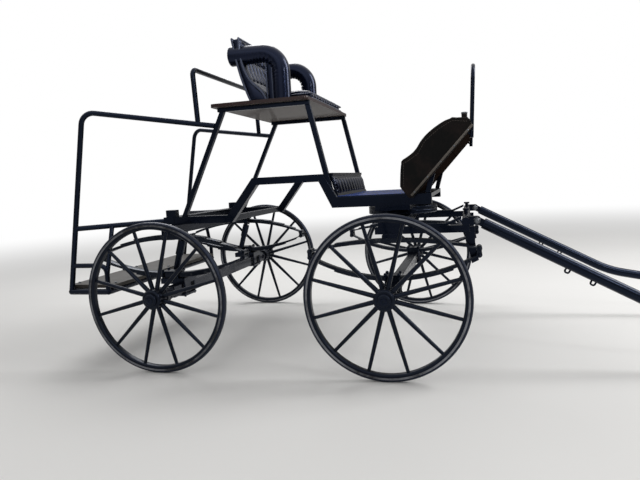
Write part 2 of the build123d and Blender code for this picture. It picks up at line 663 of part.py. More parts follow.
def on_shaft(t, above):
    """Point t mm along the sloping part from the pin, raised square to it."""
    return (PIN_X + t * ux - above * uz, FUTCHELL_Y, PIN_Z + t * uz + above * ux)


shaft = bent_tube([
    on_shaft(30, 0), (SHAFT_BEND_X, FUTCHELL_Y, SHAFT_BEND_Z), (TIP_X, FUTCHELL_Y, SHAFT_R),
], 500, SHAFT_R)
shaft += Pos(TIP_X, FUTCHELL_Y, SHAFT_R) * Sphere(SHAFT_R)

# Two small staples hang under each shaft near its root.
for t in STAPLES:
    under = -SHAFT_R - 15
    shaft += bent_tube([
        on_shaft(t - 9, 5 - SHAFT_R), on_shaft(t - 9, under), on_shaft(t + 9, under),
        on_shaft(t + 9, 5 - SHAFT_R),
    ], 7, 4)

# The iron tongue at the root turns on the pin between the ears.
lug = cross_rod(PIN_X, FUTCHELL_Y - LUG_HALF, FUTCHELL_Y + LUG_HALF, PIN_Z, 16)
tongue = [(p[0], p[2]) for p in (on_shaft(0, 16), on_shaft(60, 16), on_shaft(60, -16), on_shaft(0, -16))]
lug += side_plate(tongue, FUTCHELL_Y - LUG_HALF, FUTCHELL_Y + LUG_HALF)
shaft += lug
shaft -= cross_rod(PIN_X, FUTCHELL_Y - 40, FUTCHELL_Y + 40, PIN_Z, PIN_R + RUNNING)
save_pair("shaft", shaft)
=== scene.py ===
import math

import bpy
from mathutils import Matrix, Vector


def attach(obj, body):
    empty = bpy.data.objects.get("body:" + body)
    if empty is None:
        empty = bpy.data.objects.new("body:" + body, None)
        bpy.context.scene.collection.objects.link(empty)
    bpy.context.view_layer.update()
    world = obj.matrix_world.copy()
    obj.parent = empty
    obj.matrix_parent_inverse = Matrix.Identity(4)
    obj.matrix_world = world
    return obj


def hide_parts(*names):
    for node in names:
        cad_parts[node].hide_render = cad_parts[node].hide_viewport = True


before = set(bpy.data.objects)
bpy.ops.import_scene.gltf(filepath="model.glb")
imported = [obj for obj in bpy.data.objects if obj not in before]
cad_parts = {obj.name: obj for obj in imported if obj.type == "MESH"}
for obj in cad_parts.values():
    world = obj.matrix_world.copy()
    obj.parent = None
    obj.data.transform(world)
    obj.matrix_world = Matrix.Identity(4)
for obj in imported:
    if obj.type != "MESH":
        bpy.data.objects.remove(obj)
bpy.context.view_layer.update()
bpy.ops.object.select_all(action="DESELECT")
scene = bpy.context.scene
scene.view_settings.view_transform = "Standard"

# Camera: a little above the top of the wheels, off the carriage's right side and half way along
# it, looking slightly down and back. It is rolled by three degrees.
eye = bpy.data.cameras.new("photo_camera")
eye.lens = 31.5
eye.sensor_width = 36
camera = bpy.data.objects.new("photo_camera", eye)
camera.location = (0.0016, -2.9724, 0.8469)
camera.rotation_euler = [math.radians(a) for a in (83.926, 3.052, 14.877)]
scene.collection.objects.link(camera)
scene.camera = camera


# Studio floor: a sheet of pale grey board that runs out of view on every side. It is matt, and a
# faint cloudiness keeps it from looking like one flat tone. To the eye it pales to white far off.
def linear(code):
    """An sRGB hex colour as the linear values that a shader takes."""
    parts = [int(code[i:i + 2], 16) / 255 for i in (1, 3, 5)]
    return [c / 12.92 if c <= 0.04045 else ((c + 0.055) / 1.055) ** 2.4 for c in parts] + [1.0]


def add(tree, kind, sockets={}, **settings):
    """Adds a node, sets its properties, and gives each named socket a value or a link."""
    node = tree.nodes.new(kind)
    for key, value in settings.items():
        setattr(node, key, value)
    for key, value in sockets.items():
        if isinstance(value, bpy.types.NodeSocket):
            tree.links.new(value, node.inputs[key])
        else:
            node.inputs[key].default_value = value
    return node


def new_finish(name, **sockets):
    """An empty finish: the material, its node tree, its shader and the coordinates it reads."""
    made = bpy.data.materials.new(name)
    made.use_nodes = True
    tree = made.node_tree
    shader = tree.nodes["Principled BSDF"]
    for key, value in sockets.items():
        shader.inputs[key.replace("_", " ")].default_value = value
    return made, tree, shader, add(tree, "ShaderNodeTexCoord").outputs["Object"]


FLOOR_SIZE = 160
PALE_FROM, PALE_TO = 2.6, 11.0
bpy.ops.mesh.primitive_plane_add(size=FLOOR_SIZE, location=(0, 0, 0))
floor = bpy.context.object
floor.name = "studio_floor"
pale_board, tree, shader, spot = new_finish("pale_matt_board", Roughness=0.85)
cloud = add(tree, "ShaderNodeTexNoise", {"Vector": spot, "Scale": 0.8, "Detail": 2})
tone = add(tree, "ShaderNodeMix", {
    0: cloud.outputs["Fac"], 6: linear("#DCDBD9"), 7: linear("#E6E5E3"),
}, data_type="RGBA")
tree.links.new(tone.outputs[2], shader.inputs["Base Color"])
away = add(tree, "ShaderNodeVectorMath", {0: spot}, operation="LENGTH")
far = add(tree, "ShaderNodeMapRange", {
    "Value": away.outputs["Value"], "From Min": PALE_FROM, "From Max": PALE_TO,
}, interpolation_type="SMOOTHSTEP")
shown = add(tree, "ShaderNodeMath", {
    0: far.outputs["Result"], 1: add(tree, "ShaderNodeLightPath").outputs["Is Camera Ray"],
}, operation="MULTIPLY")
white = add(tree, "ShaderNodeEmission", {"Color": (1, 1, 1, 1), "Strength": 1.0})
paled = add(tree, "ShaderNodeMixShader", {
    0: shown.outputs[0], 1: shader.outputs[0], 2: white.outputs[0]})
tree.links.new(paled.outputs[0], tree.nodes["Material Output"].inputs["Surface"])
floor.data.materials.append(pale_board)

# Lamps: one tall soft lamp at the front, weaker ones from the camera's side and above the rear,
# and a small one that draws bright lines along tubes and rolls. The surroundings are white to the
# eye; in gloss they are white overhead and darker low down, and they light the shadows at half.
HORIZON_GLOSS = 0.14
SHADOW_LIGHT = 0.5
for name, place, aim, power, size in [
    ("front_lamp", (3.6, 0.9, 3.4), (0, 0, 0.8), 155, (1.5, 3.4)),
    ("side_lamp", (-0.8, -3.8, 2.4), (-0.2, 0, 0.7), 12, (3.0, 3.0)),
    ("line_lamp", (2.9, -2.8, 2.5), (-0.2, 0, 0.9), 16, (0.4, 0.6)),
    ("rear_lamp", (-2.6, 2.2, 3.2), (-0.6, 0, 0.8), 60, (2.4, 2.4)),
]:
    bulb = bpy.data.lights.new(name, "AREA")
    bulb.energy = power
    bulb.shape = "RECTANGLE"
    bulb.size, bulb.size_y = size
    lamp = bpy.data.objects.new(name, bulb)
    lamp.location = place
    lamp.rotation_euler = (Vector(aim) - Vector(place)).to_track_quat("-Z", "Y").to_euler()
    scene.collection.objects.link(lamp)
world = bpy.data.worlds.new("studio")
scene.world = world
world.use_nodes = True
sky = world.node_tree
sky.nodes.clear()
ray = add(sky, "ShaderNodeLightPath")
seen = add(sky, "ShaderNodeMath", {
    0: ray.outputs["Is Camera Ray"], 1: ray.outputs["Is Glossy Ray"],
}, operation="MAXIMUM")
seen = add(sky, "ShaderNodeMath", {
    0: seen.outputs[0], 1: ray.outputs["Is Transmission Ray"],
}, operation="MAXIMUM")
height = add(sky, "ShaderNodeSeparateXYZ", {
    "Vector": add(sky, "ShaderNodeTexCoord").outputs["Generated"]})
mirrored = add(sky, "ShaderNodeMapRange", {
    "Value": height.outputs["Z"], "From Min": 0.05, "From Max": 0.6, "To Min": HORIZON_GLOSS,
    "To Max": 1.0})
shown = add(sky, "ShaderNodeMix", {
    0: ray.outputs["Is Camera Ray"], 2: mirrored.outputs["Result"], 3: 1.0})
level = add(sky, "ShaderNodeMix", {0: seen.outputs[0], 2: SHADOW_LIGHT, 3: shown.outputs[0]})
air = add(sky, "ShaderNodeBackground", {"Color": (1, 1, 1, 1), "Strength": level.outputs[0]})
add(sky, "ShaderNodeOutputWorld", {"Surface": air.outputs[0]})

# Four wheels of ash, painted black: twelve spokes in a turned hub, and a bent felloe. The CAD
# wheels carry the paint. It is brushed on and slightly wavy, with marks about 2.4 mm apart that
# show as soft streaks of light.
REAR = -1.403775
WHEELBASE = 1.06
FRONT = REAR + WHEELBASE
WHEEL_Y = 0.73
AXLE_Z = 0.35
WHEELS = [
    ("rear_left", REAR, 1), ("rear_right", REAR, -1), ("front_left", FRONT, 1),
    ("front_right", FRONT, -1),
]


def dress(node, finish, edge=0.0):
    """Gives a CAD piece its finish; its sharp edges are broken by the given width."""
    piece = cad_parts[node]
    piece.data.materials.clear()
    piece.data.materials.append(finish)
    if edge:
        weld = piece.modifiers.new("weld", "WELD")
        weld.merge_threshold = 1e-5
        broken = piece.modifiers.new("broken_edge", "BEVEL")
        broken.width = edge
        broken.segments = 2
        broken.limit_method = "ANGLE"
        broken.angle_limit = math.radians(40)
        broken.harden_normals = True


# The faint blue in this black and the blue tint of its gloss are a painted reflection of a blue sky.
wheel_paint, tree, shader, spot = new_finish(
    "black_enamel_brushed_on_ash", IOR=1.34, Specular_Tint=linear("#B4CCFF"), Coat_Weight=0.06,
    Coat_Roughness=0.06)
dust = add(tree, "ShaderNodeTexNoise", {"Vector": spot, "Scale": 14, "Detail": 5})
tone = add(tree, "ShaderNodeMix", {
    0: dust.outputs["Fac"], 6: linear("#030406"), 7: linear("#0B0D12"),
}, data_type="RGBA")
tree.links.new(tone.outputs[2], shader.inputs["Base Color"])
wipe = add(tree, "ShaderNodeMapRange", {"Value": dust.outputs["Fac"], "To Min": 0.2, "To Max": 0.46})
tree.links.new(wipe.outputs["Result"], shader.inputs["Roughness"])
brush = add(tree, "ShaderNodeTexNoise", {"Vector": spot, "Scale": 420, "Detail": 3})
wave = add(tree, "ShaderNodeBump", {
    "Height": brush.outputs["Fac"], "Strength": 0.12, "Distance": 0.0004})
tree.links.new(wave.outputs["Normal"], shader.inputs["Normal"])
for name, x, side in WHEELS:
    dress("wheel_" + name, wheel_paint, 0.0012)

# Solid rubber tyres, moulded and pressed into a steel channel. Rubber is dull, a shade greyer than
# the paint, and has fine road dust in its skin.
# The rubber's faint blue cast and the blue tint of its gloss are a painted reflection of a blue sky.
tyre_rubber, tree, shader, spot = new_finish(
    "moulded_solid_rubber", IOR=1.45, Specular_Tint=linear("#B8CCFF"))
dust = add(tree, "ShaderNodeTexNoise", {"Vector": spot, "Scale": 60, "Detail": 6, "Roughness": 0.7})
tone = add(tree, "ShaderNodeMix", {
    0: dust.outputs["Fac"], 6: linear("#08090C"), 7: linear("#181A1F"),
}, data_type="RGBA")
tree.links.new(tone.outputs[2], shader.inputs["Base Color"])
wipe = add(tree, "ShaderNodeMapRange", {"Value": dust.outputs["Fac"], "To Min": 0.3, "To Max": 0.6})
tree.links.new(wipe.outputs["Result"], shader.inputs["Roughness"])
skin = add(tree, "ShaderNodeBump", {
    "Height": dust.outputs["Fac"], "Strength": 0.15, "Distance": 0.0006})
tree.links.new(skin.outputs["Normal"], shader.inputs["Normal"])
for name, x, side in WHEELS:
    dress("tyre_" + name, tyre_rubber)

# Steel parts of each wheel: the channel's two lips round the felloe, and four hoops shrunk on
# the hub. They are rolled flat bar, sprayed a smoother black than the wood, faintly dimpled at
# 1.7 mm, with gloss tinted blue as a painted reflection of a blue sky. The lips are grey bare steel
# in patches, partly wear and partly a painted highlight that lightens the line round the rim.
LIP_OUTER, LIP_INNER, LIP_WIDTH = 0.3385, 0.3305, 0.0022
LIP_OUT = 0.0171
HUB_HOOPS = [
    (-0.082, 0.0375, 0.029, 0.011), (-0.0365, 0.0460, 0.039, 0.009), (0.0315, 0.0460, 0.039, 0.010),
    (0.0455, 0.0305, 0.025, 0.006),
]
# The faint blue in this black and the blue tint of its gloss are a painted reflection of a blue sky.
steel_paint, tree, shader, spot = new_finish(
    "black_enamel_sprayed_on_steel", IOR=1.34, Specular_Tint=linear("#9CBCFF"), Coat_Weight=0.08,
    Coat_Roughness=0.04)
dust = add(tree, "ShaderNodeTexNoise", {"Vector": spot, "Scale": 9, "Detail": 6, "Roughness": 0.62})
tone = add(tree, "ShaderNodeMix", {
    0: dust.outputs["Fac"], 6: linear("#020305"), 7: linear("#0B0D13"),
}, data_type="RGBA")
tree.links.new(tone.outputs[2], shader.inputs["Base Color"])
wipe = add(tree, "ShaderNodeMapRange", {"Value": dust.outputs["Fac"], "To Min": 0.14, "To Max": 0.36})
tree.links.new(wipe.outputs["Result"], shader.inputs["Roughness"])
peel = add(tree, "ShaderNodeTexNoise", {"Vector": spot, "Scale": 600, "Detail": 1})
wave = add(tree, "ShaderNodeBump", {
    "Height": peel.outputs["Fac"], "Strength": 0.06, "Distance": 0.0003})
tree.links.new(wave.outputs["Normal"], shader.inputs["Normal"])


def choose(piece, test):
    """Selects, in edit mode, the faces whose centre and normal pass the test."""
    bpy.ops.object.mode_set(mode="EDIT")
    bpy.ops.mesh.select_mode(type="FACE")
    bpy.ops.mesh.select_all(action="DESELECT")
    bpy.ops.object.mode_set(mode="OBJECT")
    for face in piece.data.polygons:
        face.select = test(face.center, face.normal)
    bpy.ops.object.mode_set(mode="EDIT")


def soften(piece, width, segments=2):
    """Breaks a hard piece's sharp edges and shades its round faces smooth."""
    broken = piece.modifiers.new("broken_edge", "BEVEL")
    broken.width = width
    broken.segments = segments
    broken.limit_method = "ANGLE"
    broken.angle_limit = math.radians(35)
    bpy.ops.object.modifier_apply(modifier=broken.name)
    bpy.ops.object.shade_smooth_by_angle(angle=math.radians(40))


def fit(piece, name, body, finish):
    """Names a finished piece, puts its place in its mesh and fixes it to its body."""
    bpy.ops.object.select_all(action="DESELECT")
    piece.select_set(True)
    bpy.context.view_layer.objects.active = piece
    bpy.ops.object.transform_apply(location=True, rotation=True, scale=True)
    piece.name = name
    piece.data.materials.clear()
    piece.data.materials.append(finish)
    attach(piece, body)
    return piece


def hoop(centre, axis, outer, inner, width, sides=64):
    """A flat ring round a crosswise or upright axis, as on a wheel's hub or the whip socket."""
    turn = (math.radians(90), 0, 0) if axis == "Y" else (0, 0, 0)
    bpy.ops.object.select_all(action="DESELECT")
    bpy.ops.mesh.primitive_cylinder_add(
        vertices=sides, radius=outer, depth=width, location=centre, rotation=turn)
    ring = bpy.context.object
    choose(ring, lambda c, n: abs(n.z) > 0.9)
    bpy.ops.mesh.inset(thickness=outer - inner)
    bpy.ops.mesh.bridge_edge_loops()
    bpy.ops.object.mode_set(mode="OBJECT")
    soften(ring, width * 0.18)
    return ring


def joined(parts):
    """Makes one piece of several."""
    bpy.ops.object.select_all(action="DESELECT")
    for part in parts:
        part.select_set(True)
    bpy.context.view_layer.objects.active = parts[0]
    if len(parts) > 1:
        bpy.ops.object.join()
    return bpy.context.object


# The lips' pale bare-steel patches are partly wear and partly a painted highlight round the rim.
lip_wear_and_painted_highlight, tree, shader, spot = new_finish("painted_steel_rubbed_bare_and_painted_highlight")
rub = add(tree, "ShaderNodeTexNoise", {"Vector": spot, "Scale": 5, "Detail": 7, "Roughness": 0.7})
worn = add(tree, "ShaderNodeMapRange", {"Value": rub.outputs["Fac"], "From Min": 0.4, "From Max": 0.56})
tone = add(tree, "ShaderNodeMix", {
    0: worn.outputs["Result"], 6: linear("#101217"), 7: linear("#84868C"),
}, data_type="RGBA")
tree.links.new(tone.outputs[2], shader.inputs["Base Color"])
tree.links.new(worn.outputs["Result"], shader.inputs["Metallic"])
wipe = add(tree, "ShaderNodeMapRange", {"Value": rub.outputs["Fac"], "To Min": 0.45, "To Max": 0.2})
tree.links.new(wipe.outputs["Result"], shader.inputs["Roughness"])
for name, x, side in WHEELS:
    lips = [
        hoop((x, side * WHEEL_Y + out, AXLE_Z), "Y", LIP_OUTER, LIP_INNER, LIP_WIDTH, 96)
        for out in (-LIP_OUT, LIP_OUT)
    ]
    fit(joined(lips), "channel_lips_" + name, "road_wheel_" + name, lip_wear_and_painted_highlight)
    bands = [
        hoop((x, side * (WHEEL_Y + out), AXLE_Z), "Y", outer, inner, width)
        for out, outer, inner, width in HUB_HOOPS
    ]
    fit(joined(bands), "hub_hoops_" + name, "road_wheel_" + name, steel_paint)

# Axle caps: turned steel caps screwed into the hub's outer end, each with a low hexagon to turn
# it by, and a dimple left by the lathe in the middle. They carry the frame's sprayed black.
CAP_R = 0.0170
CAP_OUT = 0.0515
for name, x, side in WHEELS:
    bpy.ops.object.select_all(action="DESELECT")
    bpy.ops.mesh.primitive_cylinder_add(
        vertices=6, radius=CAP_R, depth=0.004, location=(x, side * (WHEEL_Y + CAP_OUT), AXLE_Z),
        rotation=(math.radians(-90 * side), 0, 0))
    cap = bpy.context.object
    choose(cap, lambda c, n: n.z > 0.9)
    bpy.ops.mesh.inset(thickness=0.009)
    bpy.ops.mesh.extrude_region_move(TRANSFORM_OT_translate={"value": (0, -side * 0.002, 0)})
    bpy.ops.object.mode_set(mode="OBJECT")
    soften(cap, 0.0006)
    fit(cap, "axle_cap_" + name, "road_wheel_" + name, steel_paint)

# Chassis and shafts: welded square and round steel tube, sprayed black. The CAD members carry the
# paint. Square ones have their edges rolled to a small radius that catches the light.
for node in [
    "side_frame_left", "side_frame_right", "seat_posts", "seat_rails", "frame_cross_members",
    "floor_panel", "toe_board_stays", "rear_cross_beam", "rear_axle", "rear_spring_seats",
    "upper_turntable", "lower_turntable", "futchell_left", "futchell_right", "front_spring_clamps",
    "front_axle",
]:
    dress(node, steel_paint, 0.002)
for node in [
    "rein_rail", "rear_rail_left", "rear_rail_right", "lower_rails", "backstep_frame", "grab_hoop",
    "dampers", "splinter_bar", "shaft_left", "shaft_right",
]:
    dress(node, steel_paint)

# Elliptic springs: leaves of rolled spring steel, painted thinly. The paint is rubbed through to
# dull grey metal in patches about 20 mm across, where the leaves work against each other.
# The paint's gloss is tinted blue: a painted reflection of a blue sky.
spring_paint, tree, shader, spot = new_finish(
    "thin_paint_on_spring_steel", IOR=1.4, Specular_Tint=linear("#B4CCFF"), Coat_Weight=0.1,
    Coat_Roughness=0.12)
rub = add(tree, "ShaderNodeTexNoise", {"Vector": spot, "Scale": 45, "Detail": 6, "Roughness": 0.7})
worn = add(tree, "ShaderNodeMapRange", {
    "Value": rub.outputs["Fac"], "From Min": 0.56, "From Max": 0.66})
tone = add(tree, "ShaderNodeMix", {
    0: worn.outputs["Result"], 6: linear("#07090C"), 7: linear("#3A3D42"),
}, data_type="RGBA")
tree.links.new(tone.outputs[2], shader.inputs["Base Color"])
bare = add(tree, "ShaderNodeMapRange", {"Value": worn.outputs["Result"], "To Max": 0.7})
tree.links.new(bare.outputs["Result"], shader.inputs["Metallic"])
wipe = add(tree, "ShaderNodeMapRange", {"Value": rub.outputs["Fac"], "To Min": 0.22, "To Max": 0.5})
tree.links.new(wipe.outputs["Result"], shader.inputs["Roughness"])
for node in ["rear_spring_left", "rear_spring_right", "front_spring_left", "front_spring_right"]:
    dress(node, spring_paint, 0.0012)

# Bolts: hexagon heads on washers at the spring clamps and shackles, painted over with the frame,
# and zinc-plated ones where fittings come off. Plating is a soft pale grey with 3 mm clouds. One
# head is modelled with a radius of 1, and its copies are scaled to their own radius.
SPRING_Y = 0.48
CLAMP_HALF = 0.031
NUT_R = 0.0075
SHACKLE_BOLT_R = 0.0062
zinc, tree, shader, spot = new_finish("zinc_plated_steel", Metallic=1.0)
spangle = add(tree, "ShaderNodeTexNoise", {"Vector": spot, "Scale": 300, "Detail": 3})
tone = add(tree, "ShaderNodeMix", {
    0: spangle.outputs["Fac"], 6: linear("#5E6166"), 7: linear("#8B8F94"),
}, data_type="RGBA")
tree.links.new(tone.outputs[2], shader.inputs["Base Color"])
wipe = add(tree, "ShaderNodeMapRange", {"Value": spangle.outputs["Fac"], "To Min": 0.3, "To Max": 0.5})
tree.links.new(wipe.outputs["Result"], shader.inputs["Roughness"])
bpy.ops.object.select_all(action="DESELECT")
bpy.ops.mesh.primitive_cylinder_add(vertices=6, radius=1.0, depth=0.8, location=(0, 0, 0.6))
bolt = bpy.context.object
bpy.ops.object.transform_apply(location=True, rotation=True, scale=True)
choose(bolt, lambda c, n: n.z < -0.9)
bpy.ops.mesh.inset(thickness=0.05)
bpy.ops.transform.resize(value=(1.45, 1.45, 1))
bpy.ops.mesh.extrude_region_move(TRANSFORM_OT_translate={"value": (0, 0, -0.2)})
choose(bolt, lambda c, n: n.z > 0.9)
bpy.ops.mesh.inset(thickness=0.22)
bpy.ops.mesh.extrude_region_move(TRANSFORM_OT_translate={"value": (0, 0, 0.12)})
bpy.ops.object.mode_set(mode="OBJECT")
soften(bolt, 0.06, 1)


def bolted(name, body, along, size, spots, finish):
    """Copies of the bolt head at the spots, all facing along, as one piece."""
    heads = []
    turn = Vector(along).to_track_quat("Z", "Y").to_matrix().to_4x4()
    for place in spots:
        head = bolt.copy()
        head.data = bolt.data.copy()
        head.data.transform(Matrix.Translation(place) @ turn @ Matrix.Scale(size, 4))
        scene.collection.objects.link(head)
        heads.append(head)
    fit(joined(heads), name, body, finish)


corners = [(a, b) for a in (-1, 1) for b in (-1, 1)]
rear_spring = REAR - 0.045
bolted("rear_clamp_nuts", "carriage", (0, 0, 1), NUT_R, [
    (rear_spring + 0.04 * a, side * SPRING_Y + CLAMP_HALF * b, 0.439)
    for a, b in corners for side in (-1, 1)], steel_paint)
bolted("front_clamp_nuts", "fore_carriage", (0, 0, 1), NUT_R, [
    (FRONT + 0.03 * a, side * SPRING_Y + CLAMP_HALF * b, 0.410)
    for a, b in corners for side in (-1, 1)], steel_paint)
for end, body, x, reach, eyes in [
    ("rear", "carriage", rear_spring, 0.392, (0.5, 0.524)),
    ("front", "fore_carriage", FRONT, 0.378, (0.494, 0.522)),
]:
    for face, way in ((-1, "in"), (1, "out")):
        bolted(end + "_shackle_bolts_" + way, body, (0, face, 0), SHACKLE_BOLT_R, [
            (x + a * reach, side * SPRING_Y + face * 0.0335, z)
            for a, side in corners for z in eyes], steel_paint)

# Nuts on the shaft pins, outside the ears of the splinter bar, and the bolts that hold the
# futchells up to the lower bolster. The pins come out when the shafts are changed, so their nuts
# stay bright.
FUTCHELL_Y = 0.46
PIN_X, PIN_Z = REAR + 1.431, 0.640
PIN_NUT_R = 0.0115
for face, way in ((-1, "in"), (1, "out")):
    bolted("shaft_pin_nuts_" + way, "fore_carriage", (0, face, 0), PIN_NUT_R, [
        (PIN_X, side * FUTCHELL_Y + face * 0.0225, PIN_Z) for side in (-1, 1)], zinc)
bolted("bolster_bolts", "fore_carriage", (0, 0, 1), NUT_R, [
    (FRONT + 0.035 * a, side * FUTCHELL_Y, 0.657) for a, side in corners], steel_paint)

# Floor mat: ribbed black rubber laid on the floor panel, glossy. Its blue tone, the blue tint of
# its gloss and the blue sheen that shows at a low angle are a painted reflection of a blue sky.
# Its ribs run fore and aft at a pitch of 9 mm, a little coarser than real ones so that they show.
RIB_PITCH = 0.009
mat_rubber, tree, shader, spot = new_finish(
    "ribbed_rubber_sheet", IOR=1.36, Specular_Tint=linear("#8FB2FF"), Sheen_Weight=0.7,
    Sheen_Roughness=0.3, Sheen_Tint=linear("#4D7DFF"))
smear = add(tree, "ShaderNodeTexNoise", {"Vector": spot, "Scale": 7, "Detail": 5})
tone = add(tree, "ShaderNodeMix", {
    0: smear.outputs["Fac"], 6: linear("#070C1C"), 7: linear("#121E3E"),
}, data_type="RGBA")
tree.links.new(tone.outputs[2], shader.inputs["Base Color"])
wipe = add(tree, "ShaderNodeMapRange", {"Value": smear.outputs["Fac"], "To Min": 0.1, "To Max": 0.3})
tree.links.new(wipe.outputs["Result"], shader.inputs["Roughness"])
ribs = add(tree, "ShaderNodeTexWave", {
    "Vector": spot, "Scale": 1 / RIB_PITCH / math.pi,
}, bands_direction="Y")
rise = add(tree, "ShaderNodeBump", {"Height": ribs.outputs["Fac"], "Strength": 0.5, "Distance": 0.0008})
tree.links.new(rise.outputs["Normal"], shader.inputs["Normal"])
dress("floor_mat", mat_rubber, 0.0015)

# Leathercloth: the seat, its rolls and the riser are covered in black grained hide with a
# polished face. The blue in its black and the blue tint of its gloss are a painted reflection of a
# blue sky. Grain cells are about 1.4 mm across, and the creases between them are sunk.
GRAIN = 0.0014
hide, tree, shader, spot = new_finish(
    "grained_black_hide", IOR=1.37, Specular_Tint=linear("#9DB6FF"), Coat_Weight=0.15,
    Coat_Roughness=0.07)
rubbed = add(tree, "ShaderNodeTexNoise", {"Vector": spot, "Scale": 18, "Detail": 5})
tone = add(tree, "ShaderNodeMix", {
    0: rubbed.outputs["Fac"], 6: linear("#030408"), 7: linear("#0A0F20"),
}, data_type="RGBA")
tree.links.new(tone.outputs[2], shader.inputs["Base Color"])
cells = add(tree, "ShaderNodeTexVoronoi", {
    "Vector": spot, "Scale": 1 / GRAIN,
}, feature="DISTANCE_TO_EDGE")
grain = add(tree, "ShaderNodeMapRange", {"Value": cells.outputs["Distance"], "From Max": 0.25})
wipe = add(tree, "ShaderNodeMapRange", {"Value": rubbed.outputs["Fac"], "To Min": 0.12, "To Max": 0.27})
tree.links.new(wipe.outputs["Result"], shader.inputs["Roughness"])
rise = add(tree, "ShaderNodeBump", {
    "Height": grain.outputs["Result"], "Strength": 0.16, "Distance": 0.0003})
tree.links.new(rise.outputs["Normal"], shader.inputs["Normal"])


def blown(piece, pressure, cap, voxel=0.005):
    """Stuffs a cover: remeshes it finely, blows it up as cloth and holds each point to its cap."""
    bpy.ops.object.select_all(action="DESELECT")
    piece.select_set(True)
    bpy.context.view_layer.objects.active = piece
    bpy.ops.object.transform_apply(location=True, rotation=True, scale=True)
    even = piece.modifiers.new("even_mesh", "REMESH")
    even.mode = "VOXEL"
    even.voxel_size = voxel
    bpy.ops.object.modifier_apply(modifier=even.name)
    flat = [v.co.copy() for v in piece.data.vertices]
    cloth = piece.modifiers.new("stuffing", "CLOTH")
    cloth.settings.use_pressure = True
    cloth.settings.uniform_pressure_force = pressure
    cloth.settings.effector_weights.gravity = 0
    cloth.collision_settings.use_collision = False
    for step in range(1, 21):
        scene.frame_set(step)
    bpy.ops.object.modifier_apply(modifier=cloth.name)
    for v, old in zip(piece.data.vertices, flat):
        if (v.co - old).length > cap:
            v.co = old + (v.co - old).normalized() * cap
    scene.frame_set(1)
    smooth = piece.modifiers.new("smooth", "SMOOTH")
    smooth.iterations = 6
    bpy.ops.object.modifier_apply(modifier=smooth.name)
    finer = piece.modifiers.new("finer", "SUBSURF")
    finer.levels = finer.render_levels = 1
    bpy.ops.object.modifier_apply(modifier=finer.name)
    bpy.ops.object.shade_smooth()


def pressed(piece, depth):
    """Sinks seams and tufts: moves each point in along its normal by depth(point, normal)."""
    moves = [v.normal * depth(v.co, v.normal) for v in piece.data.vertices]
    for v, move in zip(piece.data.vertices, moves):
        v.co -= move


def slab(x0, x1, y0, y1, z0, z1):
    """A block between two corners, to be shaped further."""
    bpy.ops.object.select_all(action="DESELECT")
    bpy.ops.mesh.primitive_cube_add(
        size=1, location=((x0 + x1) / 2, (y0 + y1) / 2, (z0 + z1) / 2),
        scale=(x1 - x0, y1 - y0, z1 - z0))
    return bpy.context.object


# Riser cover: hide stuffed in eleven upright flutes, nailed over the board that closes the step
# under the seat. It bulges most at half its height, and each flute pinches in at both ends.
FLUTE = 0.0665
FLUTE_DEEP, FLUTE_PINCH = 0.010, 0.007
RISER_LEAN = 0.024
RISER_MIDDLE = 0.8175
RISER_HALF = 0.0465
dress("riser", steel_paint, 0.001)
cover = slab(REAR + 0.790, REAR + 0.803, -0.366, 0.366, 0.771, 0.864)
choose(cover, lambda c, n: n.z > 0.9)
bpy.ops.transform.translate(value=(-RISER_LEAN, 0, 0))
bpy.ops.object.mode_set(mode="OBJECT")
blown(cover, 4, 0.008, 0.004)


def fluted(p, n):
    """Depth of the riser's seams, and of the pinch where its flutes end."""
    seam = 1 - abs(math.sin(math.pi * p.y / FLUTE)) ** 0.55
    end = abs(p.z - RISER_MIDDLE) / RISER_HALF
    return (FLUTE_DEEP * seam + FLUTE_PINCH * end ** 3) * max(0.0, n.x)


pressed(cover, fluted)
fit(cover, "riser_cover", "carriage", hide)

# Toe board: three deals, tongued together and painted, that lean forward. The paint is chalky
# with age and quite matt, nearly black, with brown scuffs 8 mm wide that run up the slope. The
# joints between the deals show as two dark lines, 130 mm apart.
TOE_SLOPE = math.radians(47.3)
DEAL = 0.130
DEAL_SHIFT = -0.319
JOINT_FROM, JOINT_TO = 0.0628, 0.0645
board_paint, tree, shader, spot = new_finish("matt_dark_paint_on_boarding", Specular_IOR_Level=0.0)
upward = add(tree, "ShaderNodeMapping", {"Vector": spot, "Scale": (1, 14, 1)})
streak = add(tree, "ShaderNodeTexNoise", {"Vector": upward.outputs[0], "Scale": 9, "Detail": 6})
tone = add(tree, "ShaderNodeMix", {
    0: streak.outputs["Fac"], 6: linear("#0A0908"), 7: linear("#231A16"),
}, data_type="RGBA")
slope = add(tree, "ShaderNodeMapping", {
    "Vector": spot, "Location": (DEAL_SHIFT, 0, 0), "Rotation": (0, TOE_SLOPE, 0)})
up = add(tree, "ShaderNodeSeparateXYZ", {"Vector": slope.outputs[0]})
deal = add(tree, "ShaderNodeMath", {0: up.outputs["X"], 1: DEAL / 2}, operation="PINGPONG")
joint = add(tree, "ShaderNodeMapRange", {
    "Value": deal.outputs[0], "From Min": JOINT_FROM, "From Max": JOINT_TO})
tone = add(tree, "ShaderNodeMix", {
    0: joint.outputs["Result"], 6: tone.outputs[2], 7: linear("#030303"),
}, data_type="RGBA")
tree.links.new(tone.outputs[2], shader.inputs["Base Color"])
wipe = add(tree, "ShaderNodeMapRange", {"Value": streak.outputs["Fac"], "To Min": 0.5, "To Max": 0.75})
tree.links.new(wipe.outputs["Result"], shader.inputs["Roughness"])
rise = add(tree, "ShaderNodeBump", {
    "Height": streak.outputs["Fac"], "Strength": 0.35, "Distance": 0.0006})
tree.links.new(rise.outputs["Normal"], shader.inputs["Normal"])
dress("toe_board", board_paint, 0.002)

